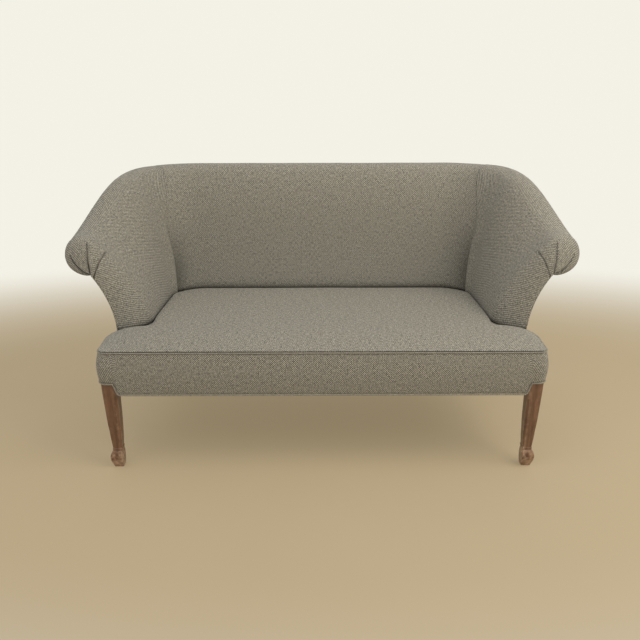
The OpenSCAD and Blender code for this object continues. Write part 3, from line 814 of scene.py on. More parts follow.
class Effects:
    """Node groups that more than one finish uses. Each is made once."""

    @staticmethod
    def group(name: str, takes: Sequence[tuple[str, str]], gives: Sequence[tuple[str, str]],
              fill: Callable[[Graph, bpy.types.Node, bpy.types.Node], None]) -> bpy.types.NodeTree:
        """Makes a group, or finds it.

        Args:
            name: The group's name.
            takes: Names and kinds of its inputs.
            gives: Names and kinds of its outputs.
            fill: Adds its nodes between its input and its output.

        Returns:
            The group.
        """
        tree = bpy.data.node_groups.get(name)
        if tree:
            return tree
        tree = bpy.data.node_groups.new(name, "ShaderNodeTree")
        for label, kind in takes:
            tree.interface.new_socket(label, in_out="INPUT", socket_type=kind)
        for label, kind in gives:
            tree.interface.new_socket(label, in_out="OUTPUT", socket_type=kind)
        graph = Graph(tree)
        fill(graph, graph.add("NodeGroupInput"), graph.add("NodeGroupOutput"))
        return tree

    @classmethod
    def weave(cls) -> bpy.types.NodeTree:
        """Over and under threads: their height, which thread lies on top, and each one's tone.

        Returns:
            The group.
        """

        def fill(g: Graph, takes: bpy.types.Node, gives: bpy.types.Node) -> None:
            """Lays warp and weft over each other in turn.

            Args:
                g: The group's graph.
                takes: The node of its inputs.
                gives: The node of its outputs.
            """
            scale = g.math("DIVIDE", 1.0, takes.outputs["Pitch"])
            vector = g.add("ShaderNodeVectorMath", {0: takes.outputs["Cloth"], 3: scale},
                           operation="SCALE").outputs[0]
            parts = g.add("ShaderNodeSeparateXYZ", {0: vector})
            u, v = parts.outputs[0], parts.outputs[1]
            lumpy = g.noise(vector, 0.35, 2.0)
            bend = g.math("MULTIPLY", g.math("SUBTRACT", lumpy, 0.5), 0.5)
            u, v = g.math("ADD", u, bend), g.math("ADD", v, bend)
            high_u = g.math("SINE", g.math("MULTIPLY", g.math("FRACT", u), math.pi))
            high_v = g.math("SINE", g.math("MULTIPLY", g.math("FRACT", v), math.pi))
            cell = g.math("ADD", g.math("FLOOR", u), g.math("FLOOR", v))
            over = g.math("FLOORED_MODULO", cell, 2.0)
            warp = g.math("MULTIPLY", high_u, g.math("MULTIPLY_ADD", high_v, 0.45, 0.55))
            weft = g.math("MULTIPLY", high_v, g.math("MULTIPLY_ADD", high_u, 0.45, 0.55))
            warp_tone = g.noise(g.scaled(vector, (0.93, 0.33, 0.0)), 1.0, 1.0, 0.6)
            weft_tone = g.noise(g.scaled(vector, (0.33, 0.93, 3.1)), 1.0, 1.0, 0.6)
            fleck = g.noise(vector, 1.3, 1.0)
            tone = g.math("MULTIPLY_ADD", g.math("SUBTRACT", 0.5, over), takes.outputs["Contrast"],
                          g.blend(over, warp_tone, weft_tone))
            links = g.tree.links
            links.new(g.blend(over, warp, weft), gives.inputs["Height"])
            links.new(over, gives.inputs["Over"])
            links.new(g.blend(0.3, tone, fleck), gives.inputs["Tone"])

        return cls.group("weave", [("Cloth", "NodeSocketVector"), ("Pitch", "NodeSocketFloat"),
                                   ("Contrast", "NodeSocketFloat")],
                         [("Height", "NodeSocketFloat"), ("Over", "NodeSocketFloat"),
                          ("Tone", "NodeSocketFloat")], fill)

    @classmethod
    def grain(cls) -> bpy.types.NodeTree:
        """Wood along X of its vector, in metres: broad figure, and short dark pores.

        Returns:
            The group.
        """

        def fill(g: Graph, takes: bpy.types.Node, gives: bpy.types.Node) -> None:
            """Stretches noise along the grain.

            Args:
                g: The group's graph.
                takes: The node of its inputs.
                gives: The node of its outputs.
            """
            where = takes.outputs["Along"]
            figure = g.noise(g.scaled(where, (9.0, 90.0, 90.0)), 1.0, 4.0, 0.6)
            pores = g.noise(g.scaled(where, (60.0, 1500.0, 1500.0)), 1.0, 2.0, 0.7)
            links = g.tree.links
            links.new(figure, gives.inputs["Figure"])
            links.new(g.math("MULTIPLY_ADD", pores, -4.0, 1.9, clamp=True), gives.inputs["Pores"])

        return cls.group("grain", [("Along", "NodeSocketVector")],
                         [("Figure", "NodeSocketFloat"), ("Pores", "NodeSocketFloat")], fill)


Colour = tuple[float, float, float]


class Finish:
    """What every finish shares: an empty material with its shader."""

    @staticmethod
    def start(name: str) -> tuple[bpy.types.Material, Graph, bpy.types.Node]:
        """Makes a material.

        Args:
            name: The material's name.

        Returns:
            The material, the graph of its nodes, and its shader node.
        """
        material = bpy.data.materials.new(name)
        material.use_nodes = True
        graph = Graph(material.node_tree)
        shader = next(n for n in material.node_tree.nodes if n.type == "BSDF_PRINCIPLED")
        return material, graph, shader

    @staticmethod
    def raise_by(graph: Graph, shader: bpy.types.Node, height: bpy.types.NodeSocket, reach: float,
                 strength: float = 1.0) -> None:
        """Puts a bump of a height in metres on a shader."""
        bump = graph.add("ShaderNodeBump", {"Height": height, "Strength": strength, "Distance": reach})
        graph.tree.links.new(bump.outputs[0], shader.inputs["Normal"])


@dataclass(frozen=True)
class Cloth(Finish):
    """A woven cloth: dark, middle and light yarn, the pitch of its threads, and its height."""

    name: str
    dark: Colour
    middle: Colour
    light: Colour
    pitch: float
    height: float = 0.0005
    sheen: float = 0.15
    contrast: float = 0.05
    mapped: bool = True
    flat: Way = Way.Z

    def make(self) -> bpy.types.Material:
        """Builds the material.

        Returns:
            The material.
        """
        material, g, shader = self.start(self.name)
        if self.mapped:
            cloth = g.add("ShaderNodeUVMap", uv_map="UVMap").outputs[0]
        else:
            place = g.add("ShaderNodeTexCoord").outputs["Object"]
            parts = g.add("ShaderNodeSeparateXYZ", {0: place})
            two = [parts.outputs[k] for k in range(3) if k != self.flat.value]
            cloth = g.add("ShaderNodeCombineXYZ", {0: two[0], 1: two[1]}).outputs[0]
        weave = g.add("ShaderNodeGroup", node_tree=Effects.weave())
        g.tree.links.new(cloth, weave.inputs["Cloth"])
        weave.inputs["Pitch"].default_value = self.pitch
        weave.inputs["Contrast"].default_value = self.contrast
        mottle = g.noise(cloth, 0.09 / self.pitch, 3.0)
        tone = g.math("ADD", weave.outputs["Tone"], g.math("MULTIPLY_ADD", mottle, 0.035, -0.0175))
        colour = g.ramp(tone, [(0.28, self.dark), (0.5, self.middle), (0.72, self.light)])
        # Painted shade: the colour is darkened in the weave's valleys between threads and, through the fold
        # attribute, in the covers' creases and pleats.
        painted_shade_factor = g.math("MULTIPLY_ADD", weave.outputs["Height"], 0.45, 0.62, clamp=True)
        fold = g.add("ShaderNodeAttribute", attribute_name="fold").outputs["Fac"]
        painted_shade_factor = g.math("MULTIPLY", painted_shade_factor, g.math("MULTIPLY_ADD", fold, -0.88, 1.0))
        shade = g.add("ShaderNodeCombineColor", {0: painted_shade_factor, 1: painted_shade_factor, 2: painted_shade_factor}).outputs[0]
        g.tree.links.new(g.tint(1.0, colour, shade, "MULTIPLY"), shader.inputs["Base Color"])
        g.tree.links.new(g.math("MULTIPLY_ADD", tone, -0.2, 0.98, clamp=True), shader.inputs["Roughness"])
        shader.inputs["Sheen Weight"].default_value = self.sheen
        shader.inputs["Sheen Roughness"].default_value = 0.5
        shader.inputs["Specular IOR Level"].default_value = 0.2
        fuzz = g.noise(cloth, 3.0 / self.pitch, 2.0)
        height = g.math("MULTIPLY_ADD", fuzz, 0.3, weave.outputs["Height"])
        self.raise_by(g, shader, height, self.height)
        return material


@dataclass(frozen=True)
class Wood(Finish):
    """Wood with its grain along one axis, plain or stained and varnished, lighter at its edges from wear, and
    at the front legs' toes from wear and a painted highlight.
    """

    name: str
    dark: Colour
    light: Colour
    along: Way = Way.X
    wear_and_highlight: Colour = (0.5, 0.4, 0.3)
    varnish: float = 0.0
    rough: float = 0.6

    def make(self) -> bpy.types.Material:
        """Builds the material.

        Returns:
            The material.
        """
        material, g, shader = self.start(self.name)
        place = g.add("ShaderNodeTexCoord").outputs["Object"]
        parts = g.add("ShaderNodeSeparateXYZ", {0: place}).outputs
        order = [self.along.value] + [k for k in range(3) if k != self.along.value]
        along = g.add("ShaderNodeCombineXYZ", {k: parts[order[k]] for k in range(3)}).outputs[0]
        grain = g.add("ShaderNodeGroup", node_tree=Effects.grain())
        g.tree.links.new(along, grain.inputs["Along"])
        figure, pores = grain.outputs["Figure"], grain.outputs["Pores"]
        colour = g.ramp(figure, [(0.3, self.dark), (0.7, self.light)])
        colour = g.tint(g.math("MULTIPLY", pores, 0.5), colour, (*[c * 0.35 for c in self.dark], 1.0))
        # Edges are lightened for wear; on the front legs' toes the same lightening also serves as a painted
        # highlight.
        edge = g.add("ShaderNodeAttribute", attribute_name="edge").outputs["Fac"]
        patch = g.math("MULTIPLY_ADD", g.noise(place, 60.0, 3.0), 2.4, -0.9, clamp=True)
        wear_and_highlight = g.math("MULTIPLY", edge, patch)
        colour = g.tint(g.math("MULTIPLY", wear_and_highlight, 0.6), colour, (*self.wear_and_highlight, 1.0))
        g.tree.links.new(colour, shader.inputs["Base Color"])
        smear = g.noise(place, 35.0, 2.0)
        level = g.math("MULTIPLY_ADD", smear, 0.25, self.rough - 0.12)
        g.tree.links.new(g.math("MULTIPLY_ADD", pores, 0.15, level), shader.inputs["Roughness"])
        shader.inputs["Coat Weight"].default_value = self.varnish
        shader.inputs["Coat Roughness"].default_value = 0.3
        height = g.math("MULTIPLY_ADD", figure, 0.4, g.math("MULTIPLY", pores, -1.0))
        self.raise_by(g, shader, height, 0.0002)
        return material


@dataclass(frozen=True)
class Fibre(Finish):
    """Loose curled hair and wadding."""

    name: str
    dark: Colour
    light: Colour

    def make(self) -> bpy.types.Material:
        """Builds the material.

        Returns:
            The material.
        """
        material, g, shader = self.start(self.name)
        place = g.add("ShaderNodeTexCoord").outputs["Object"]
        bent = g.add("ShaderNodeVectorMath", {0: place, 1: g.noise(place, 90.0, 2.0)},
                     operation="ADD").outputs[0]
        curl = g.add("ShaderNodeTexWave", {"Vector": bent, "Scale": 45.0, "Distortion": 16.0,
                                           "Detail": 3.0, "Detail Scale": 3.0}).outputs[1]
        colour = g.ramp(g.blend(0.4, curl, g.noise(place, 25.0, 4.0)), [(0.2, self.dark), (0.7, self.light)])
        g.tree.links.new(colour, shader.inputs["Base Color"])
        g.tree.links.new(g.math("MULTIPLY_ADD", curl, -0.1, 0.98), shader.inputs["Roughness"])
        self.raise_by(g, shader, curl, 0.001)
        return material


@dataclass(frozen=True)
class Steel(Finish):
    """Drawn wire and zinc plate, dulled in patches."""

    name: str
    bright: Colour
    dull: Colour

    def make(self) -> bpy.types.Material:
        """Builds the material.

        Returns:
            The material.
        """
        material, g, shader = self.start(self.name)
        place = g.add("ShaderNodeTexCoord").outputs["Object"]
        patch = g.noise(place, 70.0, 4.0, 0.65)
        scratch = g.noise(g.scaled(place, (1.0, 1.0, 9.0)), 400.0, 2.0)
        colour = g.ramp(patch, [(0.35, self.dull), (0.65, self.bright)])
        g.tree.links.new(colour, shader.inputs["Base Color"])
        shader.inputs["Metallic"].default_value = 1.0
        g.tree.links.new(g.math("MULTIPLY_ADD", scratch, 0.25, 0.28), shader.inputs["Roughness"])
        self.raise_by(g, shader, g.blend(0.5, patch, scratch), 0.0001)
        return material


class Finishes:
    """All finishes of the sofa, each made when it is first asked for."""

    def __init__(self) -> None:
        self.made: dict[str, bpy.types.Material] = {}

    def use(self, finish: Cloth | Wood | Fibre | Steel) -> bpy.types.Material:
        """The material of a finish.

        Args:
            finish: The finish.

        Returns:
            The material.
        """
        if finish.name not in self.made:
            self.made[finish.name] = finish.make()
        return self.made[finish.name]


UPHOLSTERY = Cloth("upholstery", (0.07, 0.066, 0.056), (0.29, 0.268, 0.22), (0.64, 0.60, 0.49), 0.0034,
                   contrast=0.36)
PIPING = Cloth("piping", (0.13, 0.12, 0.097), (0.33, 0.304, 0.243), (0.6, 0.56, 0.45), 0.0028, contrast=0.1)
HESSIAN = Cloth("hessian", (0.22, 0.15, 0.07), (0.42, 0.31, 0.17), (0.6, 0.48, 0.3), 0.0022, sheen=0.05)
BLACK_CLOTH = Cloth("black_cloth", (0.012, 0.012, 0.014), (0.022, 0.022, 0.025), (0.045, 0.045, 0.05), 0.0008,
                    height=0.0001, sheen=0.05)
JUTE = Cloth("jute", (0.16, 0.1, 0.05), (0.3, 0.21, 0.11), (0.48, 0.37, 0.22), 0.0026, sheen=0.05,
             mapped=False)
JUTE_UPRIGHT = Cloth("jute_upright", (0.16, 0.1, 0.05), (0.3, 0.21, 0.11), (0.48, 0.37, 0.22), 0.0026,
                     sheen=0.05, mapped=False, flat=Way.Y)
HAIR = Fibre("curled_hair", (0.33, 0.27, 0.2), (0.68, 0.62, 0.52))
# The stain's fourth colour lightens the edges for wear, and the toes for wear and a painted highlight.
STAINED = Wood("stained_wood", (0.085, 0.037, 0.017), (0.25, 0.122, 0.062), Way.Z, (0.5, 0.33, 0.21),
               varnish=0.35, rough=0.38)
BEECH = {way: Wood(f"beech_{way.name.lower()}", (0.47, 0.31, 0.16), (0.62, 0.45, 0.27), way) for way in Way}
STEEL = Steel("drawn_steel", (0.52, 0.52, 0.53), (0.33, 0.32, 0.31))


def corner_crease(r: float, v: float, on_arm: bool) -> float:
    """How deep the covers are pulled in where arm and back meet.

    Args:
        r: The row's run.
        v: The level.
        on_arm: Whether the row is on the arm's cover.

    Returns:
        The depth in millimetres, negative where the cover stands proud beside the seam.
    """
    away = abs(r - PLAN.seam_s)
    low = 1 - ease((v - 0.08) / 0.6)
    deep = 0.3 + 16.0 * low
    if on_arm:
        return deep * math.exp(-((away / 4.5) ** 1.4)) - 5.0 * low * ridge(away - 20, 14)
    return deep * math.exp(-((away / 30) ** 1.4))


def painted_fold_shade(r: float, v: float) -> float:
    """Painted shade on the inner covers: how much their colour is darkened along the corner's seam, in the
    hollow beside it on the back, and down at the seat, where shade falls.

    Args:
        r: The row's run.
        v: The level.

    Returns:
        The painted shade, from 0 on the open cover to 1.
    """
    away = abs(r - PLAN.seam_s)
    low = 1 - ease((v - 0.08) / 0.55)
    tuck = math.exp(-max(v, 0.0) / 0.02)
    hollow = 0.52 * low * ridge(away, 42) if r > PLAN.seam_s else 0.0
    corner = max(hollow, (0.14 + 0.6 * low) * math.exp(-away / 2.5))
    return clamp01(max(tuck, corner))


def seat_tuck(v: float) -> float:
    """How deep an inner cover is pulled in where the seat meets it."""
    return 4.5 * math.exp(-max(v, 0.0) / 0.03)


class Pleat(NamedTuple):
    """A fold in the arm's front: its level at the neck and at its end, its end's angle, and its depth."""

    at_neck: float
    at_end: float
    end: float
    deep: float

    def level(self, r: float) -> float:
        """The fold's level in row r."""
        return mix(self.at_neck, self.at_end, clamp01((r + 90) / (self.end + 90)))


@dataclass
class ArmUpholstery:
    """The soft parts of one arm."""

    side: Side
    finishes: Finishes
    pleats: tuple[Pleat, ...] = (Pleat(0.915, 0.83, -9.0, 4.4), Pleat(1.13, 1.1, -20.0, 4.4),
                                 Pleat(1.6, 1.41, -31.0, 5.2))

    def rows(self) -> list[float]:
        """Rows from the arm's front edge to the seam at the back corner.

        Returns:
            The rows, as an angle up to 0 and a run past it.
        """
        near = [80, 68, 57, 48, 40, 33, 27, 22, 18, 14.5, 11.5, 9, 7, 5.2, 3.7, 2.4, 1.2, 0.15]
        return ([-89.6] + spread(-88, -40, 26) + spread(-37.5, 0, 13)
                + spread(PLAN.run_arm / 16, PLAN.run_arm, 15) + [PLAN.seam_s - e for e in near])

    def cols(self) -> list[float]:
        """Levels from the tuck to the neck, close together at the pleats.

        Returns:
            The levels at the pleats' ends.
        """
        beside = (0.0035, 0.007, 0.0105, 0.015, 0.021, 0.03)
        fine = {p.at_end + sign * e for p in self.pleats for e in (0.0, *beside) for sign in (-1, 1)}
        coarse = [v for v in spread(0.15, 1.0, 28) + spread(1.02, 2.0, 50)
                  if all(abs(v - f) > 0.006 for f in fine)]
        tuck = [-1.0, -0.6, -0.25, -0.08, 0.0, 0.008, 0.018, 0.03, 0.05, 0.075, 0.1, 0.125]
        return tuck + sorted(coarse + list(fine))

    def level(self, r: float, column: float) -> float:
        """The level of a column in row r: the columns beside a fold follow it.

        Args:
            r: The row.
            column: The column's level at the pleats' ends.

        Returns:
            The level.
        """
        ends = [0.5, *(p.at_end for p in self.pleats), 2.0]
        here = [0.5, *(p.level(r) for p in self.pleats), 2.0]
        for a, b, low, high in zip(ends, ends[1:], here, here[1:]):
            if a <= column <= b:
                return mix(low, high, (column - a) / (b - a))
        return column

    def pleats_at(self, r: float, v: float) -> Iterable[tuple[Pleat, float, float]]:
        """The folds near a point of the arm's front, each with its strength and the distance from it.

        Args:
            r: The row.
            v: The level.

        Returns:
            The folds, each one's strength from 0 to 1, and the distance in millimetres.
        """
        for pleat in self.pleats:
            line = pleat.level(r)
            if r <= pleat.end and abs(v - line) <= 0.2:
                away = (PLAN.shell(r, v, 0.0) - PLAN.shell(r, line, 0.0)).length / MM
                yield pleat, ease((pleat.end - r) / 16), math.copysign(away, v - line)

    def pleat_depth(self, r: float, v: float) -> float:
        """Depth of the folds at a point of the arm's front.

        Args:
            r: The row.
            v: The level.

        Returns:
            The depth, negative where the roll is full.
        """
        depth = 0.0
        for pleat, kept, off in self.pleats_at(r, v):
            lap = -0.9 * math.exp(-off / 5) * ease(off / 1.2) if off > 0 else 0.0
            depth += kept * (pleat.deep * ridge(off, 1.5) + lap)
        full = ridge(v - 1.6, 0.14) * math.cos(math.radians(min(90.0, abs(r + 42) * 2)))
        return depth - 5.0 * full

    def face(self, r: float, v: float) -> float:
        """Depth of the finished cover's face at a point.

        Args:
            r: The row.
            v: The level.

        Returns:
            The depth in millimetres.
        """
        depth = corner_crease(r, v, True) + seat_tuck(v) + self.pleat_depth(r, v)
        x, y, z = PLAN.shell(r, v, 0.0) / MM
        soft = clamp01((v + 0.1) / 0.2) * clamp01((r + 88) / 20)
        return depth + soft * (0.7 * unevenness(x, y, z, 95) + 0.3 * unevenness(x, y, z + 500, 40))

    def shade(self, r: float, column: float) -> float:
        """Painted shade: how much the cover's colour is darkened at a place of its net, down in the folds and
        pleats and along the corner's seam.
        """
        v = self.level(r, column)
        return max([painted_fold_shade(r, v)] + [kept * ridge(off, 2.7) for _, kept, off in self.pleats_at(r, v)])

    def point(self, extra: float, crowned: bool = True) -> Point:
        """Points that lie a given depth below the face.

        Args:
            extra: The depth below the face.
            crowned: Whether the face is stuffed.

        Returns:
            The place for a row and a column.
        """
        def place(r: float, column: float) -> Vector:
            """A point in a row and a column."""
            v = self.level(r, column)
            return PLAN.shell(r, v, self.face(r, v) + extra, self.side.value, crowned)

        return place

    def build(self) -> None:
        """Makes the arm's cover, stuffing, hessian and outer panel."""
        word = self.side.word
        rows, cols = self.rows(), self.cols()
        cloth = self.finishes.use(UPHOLSTERY)
        # The arm's cover carries painted shade in its pleats, its corner seam and down at the seat.
        cover = Maker.cloth(f"arm_cover_{word}", Net(rows, cols, self.point(0.0), (0.6, 0.4)),
                            self.point(BELOW), COVER_T, cloth, self.shade)
        Maker.settle(cover, "upholstery_fabric", [f"inside_arm_{word}"], 0.85)

        few_rows = spread(-86, 0, 16) + spread(PLAN.run_arm / 8, PLAN.run_arm, 7) + [
            PLAN.seam_s - e for e in (70, 50, 34, 22, 13, 6, 0.3)]
        few_cols = spread(-0.98, 0, 3) + spread(0.08, 1.92, 46)
        hair = Maker.pad(
            f"arm_hair_{word}", Net(few_rows, few_cols, self.point(PLAN.cover_t + PLAN.gap)),
            Net(few_rows, few_cols,
                lambda r, v: PLAN.shell(r, self.level(r, v), PLAN.stuffing_t, self.side.value, False)),
            self.finishes.use(HAIR))
        Maker.settle(hair, "stuffing", [f"arm_stuffing_{word}"], 0.8)
        self.web(few_rows)
        self.outer_panel()

    def web(self, rows: Sequence[float]) -> None:
        """Makes the arm's stretched hessian.

        Args:
            rows: The rows of the arm's stuffing.
        """
        word, deep = self.side.word, PLAN.stuffing_t + PLAN.gap

        def point(extra: float) -> Point:
            """Points of the web, hollowed a little between its tacked edges."""
            return lambda r, v: PLAN.shell(r, v, deep + extra + 0.25 * math.sin(math.pi * clamp01(v)),
                                           self.side.value, False)

        net = Net([r for r in rows if r > -45], [-1.0, -0.5] + spread(0, 1, 14), point(0.0))
        web = Maker.cloth(f"arm_web_{word}", net, point(BELOW), WEB_T, self.finishes.use(HESSIAN))
        Maker.settle(web, "hessian", [f"arm_hessian_{word}"])
        net.size()
        min(net.area(), net.size()[0] * net.size()[1])

    def outer_panel(self) -> None:
        """Makes the arm's outer panel, tacked below the roll and along its foot."""
        word = self.side.word

        def depth(s: float, w: float) -> float:
            """Folded edges and a slightly hollow middle.

            Args:
                s: The run.
                w: The place down the panel.

            Returns:
                The distance in millimetres.
            """
            edge = 1.6 * ridge(PLAN.seam_s - s, 3.5) + 1.0 * ridge(s + PLAN.arm_nose, 3)
            x, y, z = PLAN.panel(s, w, 0.0) / MM
            return edge + 0.5 * (1 + unevenness(x, y, z, 110))

        def point(extra: float) -> Point:
            """Points of the panel, a given depth below its face."""
            return lambda s, w: PLAN.panel(s, w, depth(s, w) + extra, self.side.value)

        rows = ([0.6 - PLAN.arm_nose] + spread(2 - PLAN.arm_nose, 0, 18) + spread(12, PLAN.run_arm, 14)
                + spread(PLAN.run_arm + 8, PLAN.seam_s - 10, 12)
                + [PLAN.seam_s - e for e in (7.5, 5.5, 3.8, 2.4, 1.2, 0.3)])
        cols = [0.012] + spread(0.04, 1, 26) + spread(1.06, 2, 15)
        panel = Maker.cloth(f"arm_panel_{word}", Net(rows, cols, point(0.0), (0.5, 0.6)), point(BELOW),
                            COVER_T, self.finishes.use(UPHOLSTERY))
        Maker.settle(panel, "upholstery_fabric", [f"outside_arm_{word}"], 0.3)


@dataclass
class BackUpholstery:
    """The soft parts of the back, from corner seam to corner seam."""

    finishes: Finishes

    def runs(self, near: Sequence[float], middle: int) -> list[float]:
        """Signed runs from the left seam to the right seam, 0 at the middle of the back.

        Args:
            near: Distances from the seam, the farthest first.
            middle: How many steps lie beyond them.

        Returns:
            The runs.
        """
        half = PLAN.run_all - PLAN.seam_s
        right = spread(0.0, half - near[0], middle)[1:] + [half - e for e in near[1:]]
        return [-r for r in reversed(right)] + [0.0] + right

    def at(self, run: float, v: float, depth: float, crowned: bool = True) -> Vector:
        """A point of the back at a signed run."""
        return PLAN.shell(PLAN.run_all - abs(run), v, depth, 1 if run >= 0 else -1, crowned)

    def face(self, run: float, v: float) -> float:
        """Depth of the finished cover's face at a point.

        Args:
            run: The signed run.
            v: The level.

        Returns:
            The depth in millimetres.
        """
        depth = corner_crease(PLAN.run_all - abs(run), v, False) + seat_tuck(v)
        x, y, z = self.at(run, v, 0.0) / MM
        soft = clamp01((v + 0.1) / 0.2)
        return depth + soft * (0.8 * unevenness(x, y, z, 130) + 0.25 * unevenness(x, y, z + 500, 45))

    def point(self, extra: float) -> Point:
        """Points that lie a given depth below the face."""
        return lambda run, v: self.at(run, v, self.face(run, v) + extra)

    def build(self) -> None:
        """Makes the back's cover, stuffing, hessian and outer panel."""
        near = [70, 60, 50, 41, 33, 27, 22, 17.5, 14, 11, 8.5, 6.5, 4.8, 3.3, 2, 0.9, 0.15]
        rows = self.runs(near, 44)
        tuck = [-1.0, -0.5, -0.15, 0.0, 0.008, 0.018, 0.03, 0.05, 0.075, 0.1, 0.125]
        cols = tuck + spread(0.15, 1, 30) + spread(1.03, 2, 34)
        # The back's cover carries painted shade along the corner seams and down at the seat.
        cover = Maker.cloth("back_cover", Net(rows, cols, self.point(0.0)), self.point(BELOW), COVER_T,
                            self.finishes.use(UPHOLSTERY),
                            lambda run, v: painted_fold_shade(PLAN.run_all - abs(run), v))
        Maker.settle(cover, "upholstery_fabric", ["inside_back"], 0.85)
        few = self.runs([60, 40, 25, 14, 6, 0.3], 26)
        levels = spread(-0.98, 0, 3) + spread(0.08, 1.95, 40)
        hair = Maker.pad("back_hair", Net(few, levels, self.point(PLAN.cover_t + PLAN.gap)),
                         Net(few, levels, lambda run, v: self.at(run, v, PLAN.stuffing_t, False)),
                         self.finishes.use(HAIR))
        Maker.settle(hair, "stuffing", ["back_stuffing"], 0.8)
        deep = PLAN.stuffing_t + PLAN.gap
        net = Net(few, [-1.0, -0.5] + spread(0, 1, 14), lambda run, v: self.at(run, v, deep, False))
        web = Maker.cloth("back_web", net, lambda run, v: self.at(run, v, deep + BELOW, False), WEB_T,
                          self.finishes.use(HESSIAN))
        Maker.settle(web, "hessian", ["back_hessian"])
        net.size()
        min(net.area(), net.size()[0] * net.size()[1])
        self.outer_panel()

    def outer_panel(self) -> None:
        """Makes the outside back."""

        def place(run: float, w: float, extra: float) -> Vector:
            """A point of the panel with its edges folded in.

            Args:
                run: The signed run.
                w: The place down the panel.
                extra: A depth below its face.

            Returns:
                The point in metres.
            """
            s = PLAN.run_all - abs(run)
            x, y, z = PLAN.panel(s, w, 0.0, 1 if run >= 0 else -1) / MM
            d = 1.6 * ridge(s - PLAN.seam_s, 3.5) + 0.5 * (1 + unevenness(x, y, z, 120)) + extra
            return PLAN.panel(s, w, d, 1 if run >= 0 else -1)

        rows = self.runs([70, 55, 42, 31, 22, 15, 10, 7, 5, 3.4, 2.2, 1.1, 0.3], 36)
        cols = [0.012] + spread(0.04, 1, 24) + spread(1.06, 2, 14)
        panel = Maker.cloth("back_panel", Net(rows, cols, lambda r, w: place(r, w, 0.0)),
                            lambda r, w: place(r, w, BELOW), COVER_T, self.finishes.use(UPHOLSTERY))
        Maker.settle(panel, "upholstery_fabric", ["outside_back"], 0.3)


class SeatRow(NamedTuple):
    """A row of the seat: half its width and its y, in millimetres."""

    half: float
    y: float


@dataclass
class SeatUpholstery:
    """The seat's cover and stuffing."""

    finishes: Finishes

    def rows(self, d: float, at_arm: float, fine: int) -> list[SeatRow]:
        """Rows from the front edge to the back.

        Args:
            d: How far the edges are set in at the front and the bare sides.
            at_arm: Clearance to the arms and the back.
            fine: How many rows each stretch gets, times four.

        Returns:
            The rows.
        """
        plan = PLAN
        rows = [SeatRow(plan.front_x(y, d), plan.front_y + y)
                for y in spread(d + 0.3, plan.seat_corner_r, 2 * fine)]
        last = plan.arm_setback - at_arm - 0.8
        rows += [SeatRow(plan.side_x(y) - d, plan.front_y + y)
                 for y in spread(plan.seat_corner_r, last, 5 * fine)[1:]]
        runs = (spread(-87, 0, 3 * fine) + spread(0, plan.run_arm, 4 * fine)[1:]
                + spread(plan.run_arm, plan.run_arm + plan.run_corner, 4 * fine)[1:])
        for r in runs:
            hollow = 0.8 * max(0.0, corner_crease(r, 0, r < plan.seam_s))
            x, y, _ = plan.shell(r, 0, hollow - at_arm) / MM
            rows.append(SeatRow(min(x, plan.side_x(plan.arm_setback) - d), y))
        return rows

    def height(self, x: float, y: float) -> float:
        """Height of the cover's face at a point of the plan.

        Args:
            x: The point's x.
            y: The point's y.

        Returns:
            The height in millimetres.
        """
        plan, m = PLAN, y - PLAN.front_y
        rise = 1 - (1 - clamp01(m / 150)) ** 2.4
        side = 1 - clamp01(abs(x) / plan.side_x(m)) ** 16
        rear = 1 - 0.4 * ease((m - plan.seat_depth + 130) / 125)
        z = plan.welt_z + plan.seat_crown * rise * side * rear + 3.2 * (1 - ease(m / 45))
        inside = ease((m - plan.arm_setback + 10) / 60)
        wall = plan.to_wall(x, y)
        z -= inside * (6.0 * (1 - clamp01(wall / 25)) ** 2 + 12.0 * (1 - clamp01(wall / 7)) ** 2)
        return z + rise * (0.8 * unevenness(x, y, 0, 150) + 0.3 * unevenness(x, y, 300, 55))

    def net(self, d: float, at_arm: float, drop: float, fine: int, cols: int) -> Net:
        """The seat's face or a layer below it.

        Args:
            d: How far its edges are set in.
            at_arm: Clearance to the arms and the back.
            drop: How far it lies below the face.
            fine: How many rows each stretch gets, times four.
            cols: How many columns it gets.

        Returns:
            The net.
        """
        rows = self.rows(d, at_arm, fine)
        across = [math.sin(a) for a in spread(-math.pi / 2, math.pi / 2, cols)]

        # Rows are given by number, so that a row keeps its own half width
        def point(i: float, u: float) -> Vector:
            """A point of the layer in a row's number and a share of its half width."""
            row = rows[int(i)]
            return Vector((row.half * u, row.y, self.height(row.half * u, row.y) - drop)) * MM

        return Net(range(len(rows)), across, point, level=True)

    def build(self) -> None:
        """Makes the seat's cover and stuffing."""
        plan = PLAN
        top = self.net(3.0, 0.6, 0.0, 6, 140)

        def laid(net: Net, z: Callable[[Vector], float]) -> Point:
            """The points of a net, moved to the height that is given for each."""
            def place(i: float, u: float) -> Vector:
                """A point in a row's number and a column's value."""
                over = net.points[int(i)][net.cols.index(u)]
                return Vector((over.x, over.y, z(over)))

            return place

        cover = Maker.cloth("seat_top_cover", top, laid(top, lambda p: p.z - BELOW * MM), COVER_T,
                            self.finishes.use(UPHOLSTERY))
        Maker.settle(cover, "upholstery_fabric", ["seat_cover"], 0.9)
        outer = self.net(plan.side_step + plan.gap, 4.6, plan.cover_t + plan.gap, 2, 40)
        floor = plan.rail_z + plan.rail_h + plan.hessian_t + 2 * plan.gap
        inner = Net(outer.rows, outer.cols, laid(outer, lambda p: floor * MM))
        hair = Maker.pad("seat_hair", outer, inner, self.finishes.use(HAIR))
        Maker.settle(hair, "stuffing", ["seat_stuffing"], 0.9)


class Station(NamedTuple):
    """A place along the front band: its plan point in millimetres and the way out of it."""

    x: float
    y: float
    out_x: float
    out_y: float


